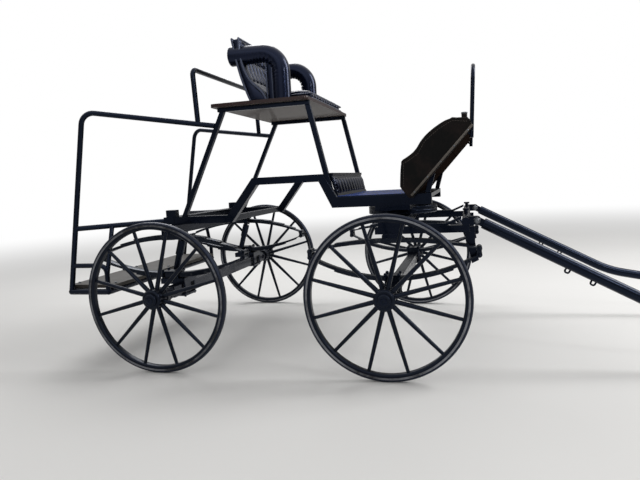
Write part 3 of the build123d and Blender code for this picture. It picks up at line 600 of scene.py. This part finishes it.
# Wings: stiff brown-black harness leather on both sides of the toe board, dry and nearly matt. It
# has fine wrinkles about 6 mm apart, and brown patches a hand wide where the dye is worn.
WRINKLE = 0.006
wing_hide, tree, shader, spot = new_finish("harness_leather", Specular_IOR_Level=0.12)
scuff = add(tree, "ShaderNodeTexNoise", {"Vector": spot, "Scale": 11, "Detail": 8, "Roughness": 0.62})
worn = add(tree, "ShaderNodeMapRange", {
    "Value": scuff.outputs["Fac"], "From Min": 0.46, "From Max": 0.68})
tone = add(tree, "ShaderNodeMix", {
    0: worn.outputs["Result"], 6: linear("#040404"), 7: linear("#1B1311"),
}, data_type="RGBA")
tree.links.new(tone.outputs[2], shader.inputs["Base Color"])
wipe = add(tree, "ShaderNodeMapRange", {"Value": scuff.outputs["Fac"], "To Min": 0.35, "To Max": 0.62})
tree.links.new(wipe.outputs["Result"], shader.inputs["Roughness"])
crease = add(tree, "ShaderNodeTexVoronoi", {
    "Vector": spot, "Scale": 1 / WRINKLE,
}, feature="DISTANCE_TO_EDGE")
rise = add(tree, "ShaderNodeBump", {
    "Height": crease.outputs["Distance"], "Strength": 0.3, "Distance": 0.0005})
tree.links.new(rise.outputs["Normal"], shader.inputs["Normal"])
for node in ["wing_left", "wing_right"]:
    dress(node, wing_hide, 0.003)

# Hem: each wing's free edge is turned back over a cord and sewn, which leaves a round bead from
# the heel up to the rail's foot, and a row of dull waxed thread on the outside. Stitches are 7 mm
# long, one every 11 mm, coarser than real ones so that they show, as is the thread's twist.
WING_EDGE = [
    (1.108, 0.797), (1.112, 0.911), (1.135, 0.921), (1.180, 0.952), (1.211, 1.005), (1.271, 1.053),
    (1.337, 1.086), (1.405, 1.077),
]
STITCH_IN = [
    (0.012, 0), (0.011, -0.008), (0.004, -0.011), (0.007, -0.011), (0.007, -0.012), (0.006, -0.012),
    (0.001, -0.012), (-0.002, -0.012),
]
HEM_Y, HEM_R = 0.4445, 0.0052
STITCH_Y = 0.4484
STITCH_PITCH = 0.011
STITCH_HALF = 0.0036
THREAD_R = 0.0008
TWIST_PITCH = 0.0012


def cord_seam(points, radius, steps=4):
    """A piped seam: a round bead that runs smoothly along the points."""
    bpy.ops.object.select_all(action="DESELECT")
    line = bpy.data.curves.new("seam", "CURVE")
    line.dimensions = "3D"
    line.bevel_depth = radius
    line.bevel_resolution = 3
    line.resolution_u = steps
    line.use_fill_caps = True
    run = line.splines.new("NURBS")
    run.points.add(len(points) - 1)
    for knot, place in zip(run.points, points):
        knot.co = (*place, 1)
    run.order_u = 3
    run.use_endpoint_u = True
    seam = bpy.data.objects.new("seam", line)
    scene.collection.objects.link(seam)
    seam.select_set(True)
    bpy.context.view_layer.objects.active = seam
    bpy.ops.object.convert(target="MESH")
    bpy.ops.object.shade_smooth()
    return bpy.context.object


def along_line(points, pitch):
    """Places and directions at an even pitch along straight runs."""
    spots = []
    left = pitch / 2
    for a, b in zip(points, points[1:]):
        run = b - a
        while left < run.length:
            spots.append((a + run.normalized() * left, run.normalized()))
            left += pitch
        left -= run.length
    return spots


def sewn(name, points, out, finish):
    """A row of small stitches along the points, lying on a face that looks towards out."""
    stitches = []
    for place, way in along_line([Vector(p) for p in points], STITCH_PITCH):
        ends = way * STITCH_HALF
        stitches.append(cord_seam([place - ends, place + out * 0.0007, place + ends], THREAD_R, 1))
    fit(joined(stitches), name, "carriage", finish)


thread, tree, shader, spot = new_finish("waxed_linen_thread", Roughness=0.7, Sheen_Weight=0.3)
twist = add(tree, "ShaderNodeTexWave", {
    "Vector": spot, "Scale": 1 / TWIST_PITCH / math.pi,
}, bands_direction="DIAGONAL")
tone = add(tree, "ShaderNodeMix", {
    0: twist.outputs["Fac"], 6: linear("#2B241F"), 7: linear("#4D443B"),
}, data_type="RGBA")
tree.links.new(tone.outputs[2], shader.inputs["Base Color"])
for side, name in ((1, "left"), (-1, "right")):
    edge = [(REAR + x, side * HEM_Y, z) for x, z in WING_EDGE]
    fit(cord_seam(edge, HEM_R, 6), "wing_hem_" + name, "carriage", wing_hide)
    row = [(REAR + x + dx, side * STITCH_Y, z + dz) for (x, z), (dx, dz) in zip(WING_EDGE, STITCH_IN)]
    sewn("wing_stitches_" + name, row, Vector((0, side, 0)), thread)

# Battens: aluminium flat bar that clamps the wings along both edges of the toe board, each with
# five plated screws. Its mill finish has weathered to dull grey metal, with lines along it that
# are 1.4 mm apart.
BATTEN_IN = 0.013
BATTEN_Y = 0.4497
BATTEN_THICK, BATTEN_WIDE = 0.0034, 0.010
SCREW_Y, SCREW_R = 0.4519, 0.0032
mill, tree, shader, spot = new_finish("weathered_mill_aluminium", Metallic=0.85)
drawn = add(tree, "ShaderNodeMapping", {
    "Vector": spot, "Rotation": (0, TOE_SLOPE, 0), "Scale": (3, 60, 60)})
line = add(tree, "ShaderNodeTexNoise", {"Vector": drawn.outputs[0], "Scale": 12, "Detail": 4})
tone = add(tree, "ShaderNodeMix", {
    0: line.outputs["Fac"], 6: linear("#3E3A37"), 7: linear("#77716B"),
}, data_type="RGBA")
tree.links.new(tone.outputs[2], shader.inputs["Base Color"])
wipe = add(tree, "ShaderNodeMapRange", {"Value": line.outputs["Fac"], "To Min": 0.4, "To Max": 0.6})
tree.links.new(wipe.outputs["Result"], shader.inputs["Roughness"])
toe_foot = Vector((REAR + 1.141, 0, 0.765))
toe_top = Vector((REAR + 1.409, 0, 1.055))
toe_up = (toe_top - toe_foot).normalized()
toe_under = Vector((toe_up.z, 0, -toe_up.x))
toe_length = (toe_top - toe_foot).length
for side, name in ((1, "left"), (-1, "right")):
    middle = toe_foot + toe_up * (toe_length / 2 + 0.004) + toe_under * BATTEN_IN
    bpy.ops.object.select_all(action="DESELECT")
    bpy.ops.mesh.primitive_cube_add(
        size=1, location=(middle.x, side * BATTEN_Y, middle.z),
        scale=(toe_length + 0.004, BATTEN_THICK, BATTEN_WIDE),
        rotation=(0, -math.atan2(toe_up.z, toe_up.x), 0))
    batten = bpy.context.object
    bpy.ops.object.transform_apply(location=True, rotation=True, scale=True)
    choose(batten, lambda c, n: n.y * side > 0.9)
    bpy.ops.mesh.inset(thickness=0.002)
    bpy.ops.transform.translate(value=(0, side * 0.0008, 0))
    bpy.ops.object.mode_set(mode="OBJECT")
    soften(batten, 0.0005)
    fit(batten, "wing_batten_" + name, "carriage", mill)
    screws = [
        toe_foot + toe_up * toe_length * share + toe_under * BATTEN_IN
        for share in (0.06, 0.28, 0.5, 0.72, 0.94)
    ]
    bolted("batten_screws_" + name, "carriage", (0, side, 0), SCREW_R, [
        (p.x, side * SCREW_Y, p.z) for p in screws], zinc)

# Whip socket: a leather-covered cup strapped inside the right-hand end of the toe board's top,
# within reach of the seat, with a bright ferrule round its mouth.
SOCKET_X, SOCKET_Y = REAR + 1.389, -0.404
SOCKET_R, SOCKET_LONG = 0.0125, 0.062
bpy.ops.object.select_all(action="DESELECT")
bpy.ops.mesh.primitive_cylinder_add(
    vertices=32, radius=SOCKET_R, depth=SOCKET_LONG, location=(SOCKET_X, SOCKET_Y, 1.078))
socket = bpy.context.object
choose(socket, lambda c, n: n.z > 0.9)
bpy.ops.mesh.inset(thickness=0.0035)
bpy.ops.mesh.extrude_region_move(TRANSFORM_OT_translate={"value": (0, 0, -0.045)})
choose(socket, lambda c, n: n.z < -0.9 and c.z < -0.025)
bpy.ops.mesh.inset(thickness=0.002)
bpy.ops.mesh.extrude_region_move(TRANSFORM_OT_translate={"value": (0, 0, -0.010)})
bpy.ops.transform.resize(value=(0.6, 0.6, 1))
bpy.ops.object.mode_set(mode="OBJECT")
soften(socket, 0.001)
fit(socket, "whip_socket", "carriage", wing_hide)
ferrule = hoop((SOCKET_X, SOCKET_Y, 1.106), "Z", 0.0138, 0.0105, 0.007, 32)
strap = hoop((SOCKET_X, SOCKET_Y, 1.070), "Z", 0.0135, 0.0115, 0.009, 32)
fit(joined([ferrule, strap]), "whip_socket_ferrule", "carriage", zinc)

# Seat board: one sheet of mahogany ply, varnished on top and at the edge, which is rounded. Its
# grain runs across in bands about 8 mm wide. The underside is left in thin grey-brown primer, and
# looks drier.
varnish, tree, shader, spot = new_finish(
    "varnished_mahogany", IOR=1.4, Coat_Weight=0.15, Coat_Roughness=0.05)
along = add(tree, "ShaderNodeMapping", {"Vector": spot, "Scale": (30, 1.2, 30)})
figure = add(tree, "ShaderNodeTexNoise", {
    "Vector": along.outputs[0], "Scale": 4, "Detail": 7, "Roughness": 0.6})
wood = add(tree, "ShaderNodeMix", {
    0: figure.outputs["Fac"], 6: linear("#120707"), 7: linear("#331817"),
}, data_type="RGBA")
primer = add(tree, "ShaderNodeMix", {
    0: figure.outputs["Fac"], 6: linear("#332D29"), 7: linear("#5C524C"),
}, data_type="RGBA")
facing = add(tree, "ShaderNodeSeparateXYZ", {
    "Vector": add(tree, "ShaderNodeNewGeometry").outputs["Normal"]})
below = add(tree, "ShaderNodeMapRange", {
    "Value": facing.outputs["Z"], "From Min": -0.8, "From Max": -0.95})
tone = add(tree, "ShaderNodeMix", {
    0: below.outputs["Result"], 6: wood.outputs[2], 7: primer.outputs[2],
}, data_type="RGBA")
tree.links.new(tone.outputs[2], shader.inputs["Base Color"])
wipe = add(tree, "ShaderNodeMapRange", {"Value": figure.outputs["Fac"], "To Min": 0.22, "To Max": 0.36})
dry = add(tree, "ShaderNodeMath", {
    0: below.outputs["Result"], 1: 0.25, 2: wipe.outputs["Result"],
}, operation="MULTIPLY_ADD")
tree.links.new(dry.outputs[0], shader.inputs["Roughness"])
rise = add(tree, "ShaderNodeBump", {
    "Height": figure.outputs["Fac"], "Strength": 0.08, "Distance": 0.0004})
tree.links.new(rise.outputs["Normal"], shader.inputs["Normal"])
dress("seat_board", varnish, 0.005)

# Arm rolls: a stuffed tube of hide that runs forward, turns down and stands on the board. Hide
# is drawn into gathers about 16 mm apart on the inside of the turn. The roll is fullest at its
# rear end, a domed disc with a button, and a welt runs round the foot.
ROLL_REAR = REAR + 0.294
ROLL_Z = 1.469
ROLL_R = 0.0470
ROLL_THIN = 0.0425
LEVEL_RUN, LEVEL_STEPS = 0.159, 36
LEVEL_DROP = 0.003
BEND_X = REAR + 0.453
BEND_Z = 1.372
UPRIGHT_RUN, UPRIGHT_STEPS = 0.1315, 30
ROLL_FOOT_X, ROLL_FOOT_Z = REAR + 0.547, 1.2435
WELT_R = 0.0033
BUTTON_R = 0.0065
GATHER = 0.0155
GATHER_DEEP = 0.0075
GATHER_MIDDLE, GATHER_SPREAD = 0.020, 0.070
INNER_BEND_R, INNER_BEND_RUN = 0.052, 0.0817
ARMS = [("right", -0.354), ("middle", 0.122)]


def roll_shape(y):
    """The roll as a tube: a disc drawn forward, spun round the turn and drawn down."""
    bpy.ops.object.select_all(action="DESELECT")
    bpy.ops.mesh.primitive_circle_add(
        vertices=48, radius=ROLL_R, fill_type="NGON", location=(ROLL_REAR, y, ROLL_Z),
        rotation=(0, math.radians(90), 0))
    roll = bpy.context.object
    bpy.ops.object.transform_apply(location=True, rotation=True, scale=True)
    bpy.ops.object.mode_set(mode="EDIT")
    bpy.ops.mesh.select_all(action="SELECT")
    thinner = (ROLL_THIN / ROLL_R) ** (1 / LEVEL_STEPS)
    for step in range(LEVEL_STEPS):
        bpy.ops.mesh.extrude_region_move(TRANSFORM_OT_translate={
            "value": (LEVEL_RUN / LEVEL_STEPS, 0, -LEVEL_DROP / LEVEL_STEPS)})
        bpy.ops.transform.resize(value=(1, thinner, thinner))
    bpy.ops.mesh.spin(
        steps=32, angle=math.radians(90), center=(BEND_X, y, BEND_Z), axis=(0, -1, 0))
    for step in range(UPRIGHT_STEPS):
        bpy.ops.mesh.extrude_region_move(TRANSFORM_OT_translate={
            "value": (0, 0, -UPRIGHT_RUN / UPRIGHT_STEPS)})
    bpy.ops.mesh.select_all(action="SELECT")
    bpy.ops.mesh.remove_doubles(threshold=1e-5)
    bpy.ops.mesh.normals_make_consistent(inside=False)
    bpy.ops.object.mode_set(mode="OBJECT")
    choose(roll, lambda c, n: n.x < -0.9 and c.x < ROLL_REAR + 0.001)
    for inset, push in [(0.006, 0.0035), (0.009, 0.0025), (0.012, 0.001)]:
        bpy.ops.mesh.inset(thickness=inset)
        bpy.ops.transform.translate(value=(-push, 0, 0))
    bpy.ops.mesh.inset(thickness=0.006)
    bpy.ops.transform.translate(value=(0.003, 0, 0))
    bpy.ops.object.mode_set(mode="OBJECT")
    return roll


def gather(p, normal):
    """Depth of the gathers: none on the outside of the roll, deepest on the inside of the turn."""
    if p.x < BEND_X and p.z > BEND_Z:
        run, inner = p.x - BEND_X, Vector((0, 0, -1))
    elif p.z > BEND_Z:
        turn = math.atan2(p.x - BEND_X, p.z - BEND_Z)
        run, inner = turn * INNER_BEND_R, -Vector((math.sin(turn), 0, math.cos(turn)))
    else:
        run, inner = INNER_BEND_RUN + BEND_Z - p.z, Vector((-1, 0, 0))
    facing = normal.x * inner.x + normal.z * inner.z
    near = math.exp(-((run - GATHER_MIDDLE) / GATHER_SPREAD) ** 2)
    share = max(0.0, min(1.0, (facing - 0.05) / 0.7))
    return GATHER_DEEP * near * share * (1 - abs(math.sin(math.pi * run / GATHER)) ** 0.6)


for name, y in ARMS:
    roll = roll_shape(y)
    finer = roll.modifiers.new("finer", "SUBSURF")
    finer.levels = finer.render_levels = 1
    bpy.ops.object.modifier_apply(modifier=finer.name)
    pressed(roll, gather)
    bpy.ops.object.shade_smooth()
    fit(roll, "arm_roll_" + name, "carriage", hide)
    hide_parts("seat_arm_" + name)
    foot = [
        (ROLL_FOOT_X + ROLL_THIN * math.cos(a), y + ROLL_THIN * math.sin(a), ROLL_FOOT_Z)
        for a in [math.radians(15 * k) for k in range(-10, 11)]
    ]
    button = cord_seam([(REAR + 0.2895, y, ROLL_Z), (REAR + 0.2865, y, ROLL_Z)], BUTTON_R, 2)
    welt = joined([cord_seam(foot, WELT_R), button])
    fit(welt, "arm_roll_welt_" + name, "carriage", hide)

# Arm panel: a narrow stuffed panel closes the space behind the outer roll's foot. A welt runs up
# its rear edge, and another lies in the seam between the panel and the roll. Piping is the same
# hide over cord with a smoother face; its grey is a painted highlight for the light lines along the
# welts, and its gloss is tinted blue as a painted reflection of a blue sky.
WELT_FOOT = 1.2415
PIPING_R = 0.0036
piping_hide_painted_highlight, tree, shader, spot = new_finish(
    "hide_over_cord_painted_highlight", Roughness=0.2, Specular_Tint=linear("#C4D2FF"))
rub = add(tree, "ShaderNodeTexNoise", {"Vector": spot, "Scale": 22, "Detail": 6, "Roughness": 0.65})
tone = add(tree, "ShaderNodeMix", {
    0: rub.outputs["Fac"], 6: linear("#171A24"), 7: linear("#606678"),
}, data_type="RGBA")
tree.links.new(tone.outputs[2], shader.inputs["Base Color"])
rise = add(tree, "ShaderNodeBump", {"Height": rub.outputs["Fac"], "Strength": 0.15, "Distance": 0.0004})
tree.links.new(rise.outputs["Normal"], shader.inputs["Normal"])
arm, arm_y = ARMS[0]
panel = slab(REAR + 0.476, REAR + 0.510, arm_y - 0.011, arm_y + 0.011, 1.2405, 1.425)
blown(panel, 3, 0.003, 0.004)
fit(panel, "arm_panel_" + arm, "carriage", hide)
seams = []
for x, top in ((REAR + 0.4745, 1.416), (REAR + 0.5035, 1.402)):
    heights = (WELT_FOOT, (WELT_FOOT + top) / 2, top)
    for y in (arm_y - 0.0135, arm_y + 0.0135):
        seams.append(cord_seam([(x, y, z) for z in heights], PIPING_R))
fit(joined(seams), "arm_panel_welts_" + arm, "carriage", piping_hide_painted_highlight)

# Back: a stuffed squab that leans back and sweeps forward into the seat. Its front is drawn into
# upright folds 50 mm wide, pinched in by two rows of buttons, and its rear is plain. The profile
# lists heights with the rear and front faces there, ahead of the rear axle.
FOLD = 0.050
FOLD_DEEP, ROW_DEEP = 0.0095, 0.006
SIDE_PIPING_FRONT_R, SIDE_PIPING_REAR_R = 0.0058, 0.0052
TOP_PIPING_FRONT_R, TOP_PIPING_REAR_R = 0.0050, 0.0045
SQUAB_BUTTON_R = 0.0068
BUTTON_ROWS = (1.347, 1.455)
BACK_SIDES = (-0.389, 0.157)
BACK_PROFILE = [
    (1.242, 0.393, 0.476), (1.262, 0.384, 0.470), (1.284, 0.376, 0.457), (1.306, 0.368, 0.434),
    (1.330, 0.360, 0.409), (1.360, 0.350, 0.388), (1.400, 0.340, 0.370), (1.440, 0.331, 0.360),
    (1.485, 0.323, 0.355), (1.520, 0.317, 0.354), (1.545, 0.313, 0.354),
]
back = slab(REAR + 0.393, REAR + 0.476, *BACK_SIDES, 1.242, 1.244)
for (z0, rear0, front0), (z1, rear1, front1) in zip(BACK_PROFILE, BACK_PROFILE[1:]):
    choose(back, lambda c, n: n.z > 0.9)
    bpy.ops.mesh.extrude_region_move(TRANSFORM_OT_translate={
        "value": ((rear1 + front1 - rear0 - front0) / 2, 0, z1 - z0)})
    bpy.ops.transform.resize(value=((front1 - rear1) / (front0 - rear0), 1, 1))
    bpy.ops.object.mode_set(mode="OBJECT")
blown(back, 4, 0.006)


def folds(p, n):
    """Depth of the upright folds and of the pinch along each row of buttons."""
    shift = 0.5 if BUTTON_ROWS[0] < p.z < BUTTON_ROWS[1] else 0.0
    fold = 1 - abs(math.sin(math.pi * (p.y / FOLD + shift))) ** 0.55
    pinch = sum(math.exp(-((p.z - z) / 0.009) ** 2) for z in BUTTON_ROWS)
    inside = max(0.0, min(1.0, (0.148 - p.y) / 0.012, (p.y + 0.380) / 0.012, (1.538 - p.z) / 0.015))
    depth = FOLD_DEEP * fold + ROW_DEEP * pinch * (1 - 0.5 * fold)
    return depth * inside * max(0.0, n.x) ** 0.5


pressed(back, folds)
fit(back, "seat_squab", "carriage", hide)
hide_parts("seat_back")
seams = []
for y in BACK_SIDES:
    seams.append(cord_seam(
        [(REAR + front - 0.002, y, z) for z, rear, front in BACK_PROFILE], SIDE_PIPING_FRONT_R))
    seams.append(cord_seam(
        [(REAR + rear + 0.003, y, z) for z, rear, front in BACK_PROFILE], SIDE_PIPING_REAR_R))
top, top_rear, top_front = BACK_PROFILE[-1]
for x, radius in (
    (REAR + top_front - 0.002, TOP_PIPING_FRONT_R), (REAR + top_rear + 0.004, TOP_PIPING_REAR_R),
):
    knots = (BACK_SIDES[0], -0.2, 0, BACK_SIDES[1])
    seams.append(cord_seam([(x, y, top - 0.001) for y in knots], radius))
fit(joined(seams), "squab_piping", "carriage", piping_hide_painted_highlight)
surface = [v.co.copy() for v in back.data.vertices if v.normal.x > 0.3]
buttons = []
for z in BUTTON_ROWS:
    for k in range(-7, 4):
        y = (k + 0.25) * FOLD
        near = [p.x for p in surface if abs(p.y - y) < 0.006 and abs(p.z - z) < 0.006]
        if near and -0.37 < y < 0.14:
            x = sum(near) / len(near)
            stem = [(x - 0.004, y, z), (x + 0.003, y, z), (x + 0.0035, y, z)]
            buttons.append(cord_seam(stem, SQUAB_BUTTON_R, 2))
fit(joined(buttons), "squab_buttons", "carriage", hide)

# Cushion: a stuffed seat in flutes that run from back to front, 55 mm apart, and turn down over
# its front edge. It passes before the middle arm and fills the left side to the rear.
CHANNEL = 0.055
CHANNEL_DEEP = 0.012
CUSHION_PIPING_R = 0.0034
SEAT_RIGHT, SEAT_LEFT = -0.304, 0.318
CUSHION_FOOT, CUSHION_TOP = 1.2415, 1.287
cushion = slab(REAR + 0.478, REAR + 0.610, SEAT_RIGHT, SEAT_LEFT, CUSHION_FOOT, CUSHION_TOP)
for reach, height in ((0.040, 0.90), (0.028, 0.82)):
    choose(cushion, lambda c, n: n.x > 0.9)
    bpy.ops.mesh.extrude_region_move(TRANSFORM_OT_translate={"value": (reach, 0, 0)})
    bpy.ops.transform.resize(value=(1, 1, height), center_override=(0, 0, CUSHION_FOOT))
    bpy.ops.object.mode_set(mode="OBJECT")
rear_part = slab(REAR + 0.334, REAR + 0.490, 0.173, SEAT_LEFT, CUSHION_FOOT, CUSHION_TOP)
cushion = joined([cushion, rear_part])
cutter = slab(REAR + 0.380, REAR + 0.597, 0.072, 0.172, 1.2, 1.35)
bpy.ops.object.select_all(action="DESELECT")
bpy.context.view_layer.objects.active = cushion
cushion.select_set(True)
merge = cushion.modifiers.new("merge", "REMESH")
merge.mode = "VOXEL"
merge.voxel_size = 0.005
bpy.ops.object.modifier_apply(modifier=merge.name)
cut = cushion.modifiers.new("notch", "BOOLEAN")
cut.object = cutter
cut.operation = "DIFFERENCE"
bpy.ops.object.modifier_apply(modifier=cut.name)
bpy.data.objects.remove(cutter)
blown(cushion, 4, 0.009)


def channelled(p, n):
    """Depth of the cushion's seams: on its top and over its front edge, none underneath."""
    if n.z <= -0.3:
        return 0.0
    seam = 1 - abs(math.sin(math.pi * p.y / CHANNEL)) ** 0.5
    return CHANNEL_DEEP * seam * max(0.0, n.z, n.x if p.x > REAR + 0.64 else 0.0)


pressed(cushion, channelled)
for v in cushion.data.vertices:
    v.co.z = max(v.co.z, 1.2403)
fit(cushion, "seat_cushion_fluted", "carriage", hide)
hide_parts("seat_cushion")
seams = []
for z, front in ((1.2445, REAR + 0.684), (1.268, REAR + 0.683)):
    seams.append(cord_seam([
        (REAR + 0.480, SEAT_RIGHT - 0.0045, z), (REAR + 0.58, SEAT_RIGHT - 0.0045, z),
        (front - 0.006, SEAT_RIGHT - 0.0045, z), (front, SEAT_RIGHT + 0.004, z), (front, 0, z),
        (front, SEAT_LEFT - 0.004, z), (front - 0.006, SEAT_LEFT + 0.004, z),
        (REAR + 0.5, SEAT_LEFT + 0.004, z), (REAR + 0.340, SEAT_LEFT + 0.004, z)], CUSHION_PIPING_R))
fit(joined(seams), "cushion_piping", "carriage", piping_hide_painted_highlight)

# Backstep: a birch ply board laid on the rear frame and bolted down. Its phenolic face is black
# gone brownish with dirt, and rough with a pressed wire pattern of 8 mm squares.
WIRE_PITCH = 0.008
STEP_TOP = 0.383
STEP_BOLT_R = 0.0065
tread, tree, shader, spot = new_finish("phenolic_faced_birch_ply", IOR=1.5)
grid = add(tree, "ShaderNodeTexVoronoi", {
    "Vector": spot, "Scale": 1 / WIRE_PITCH,
}, distance="CHEBYCHEV")
dirt = add(tree, "ShaderNodeTexNoise", {"Vector": spot, "Scale": 11, "Detail": 6})
tone = add(tree, "ShaderNodeMix", {
    0: dirt.outputs["Fac"], 6: linear("#16120F"), 7: linear("#39332C"),
}, data_type="RGBA")
tree.links.new(tone.outputs[2], shader.inputs["Base Color"])
wipe = add(tree, "ShaderNodeMapRange", {"Value": dirt.outputs["Fac"], "To Min": 0.42, "To Max": 0.7})
tree.links.new(wipe.outputs["Result"], shader.inputs["Roughness"])
rise = add(tree, "ShaderNodeBump", {
    "Height": grid.outputs["Distance"], "Strength": 0.35, "Distance": 0.0006})
tree.links.new(rise.outputs["Normal"], shader.inputs["Normal"])
dress("backstep_board", tread, 0.002)
bolted("backstep_bolts", "carriage", (0, 0, 1), STEP_BOLT_R, [
    (REAR + x, y, STEP_TOP) for x in (-0.568, -0.352) for y in (-0.52, 0, 0.52)], zinc)

# The pattern bolt has been copied as often as it is needed, and goes.
bpy.data.objects.remove(bolt)
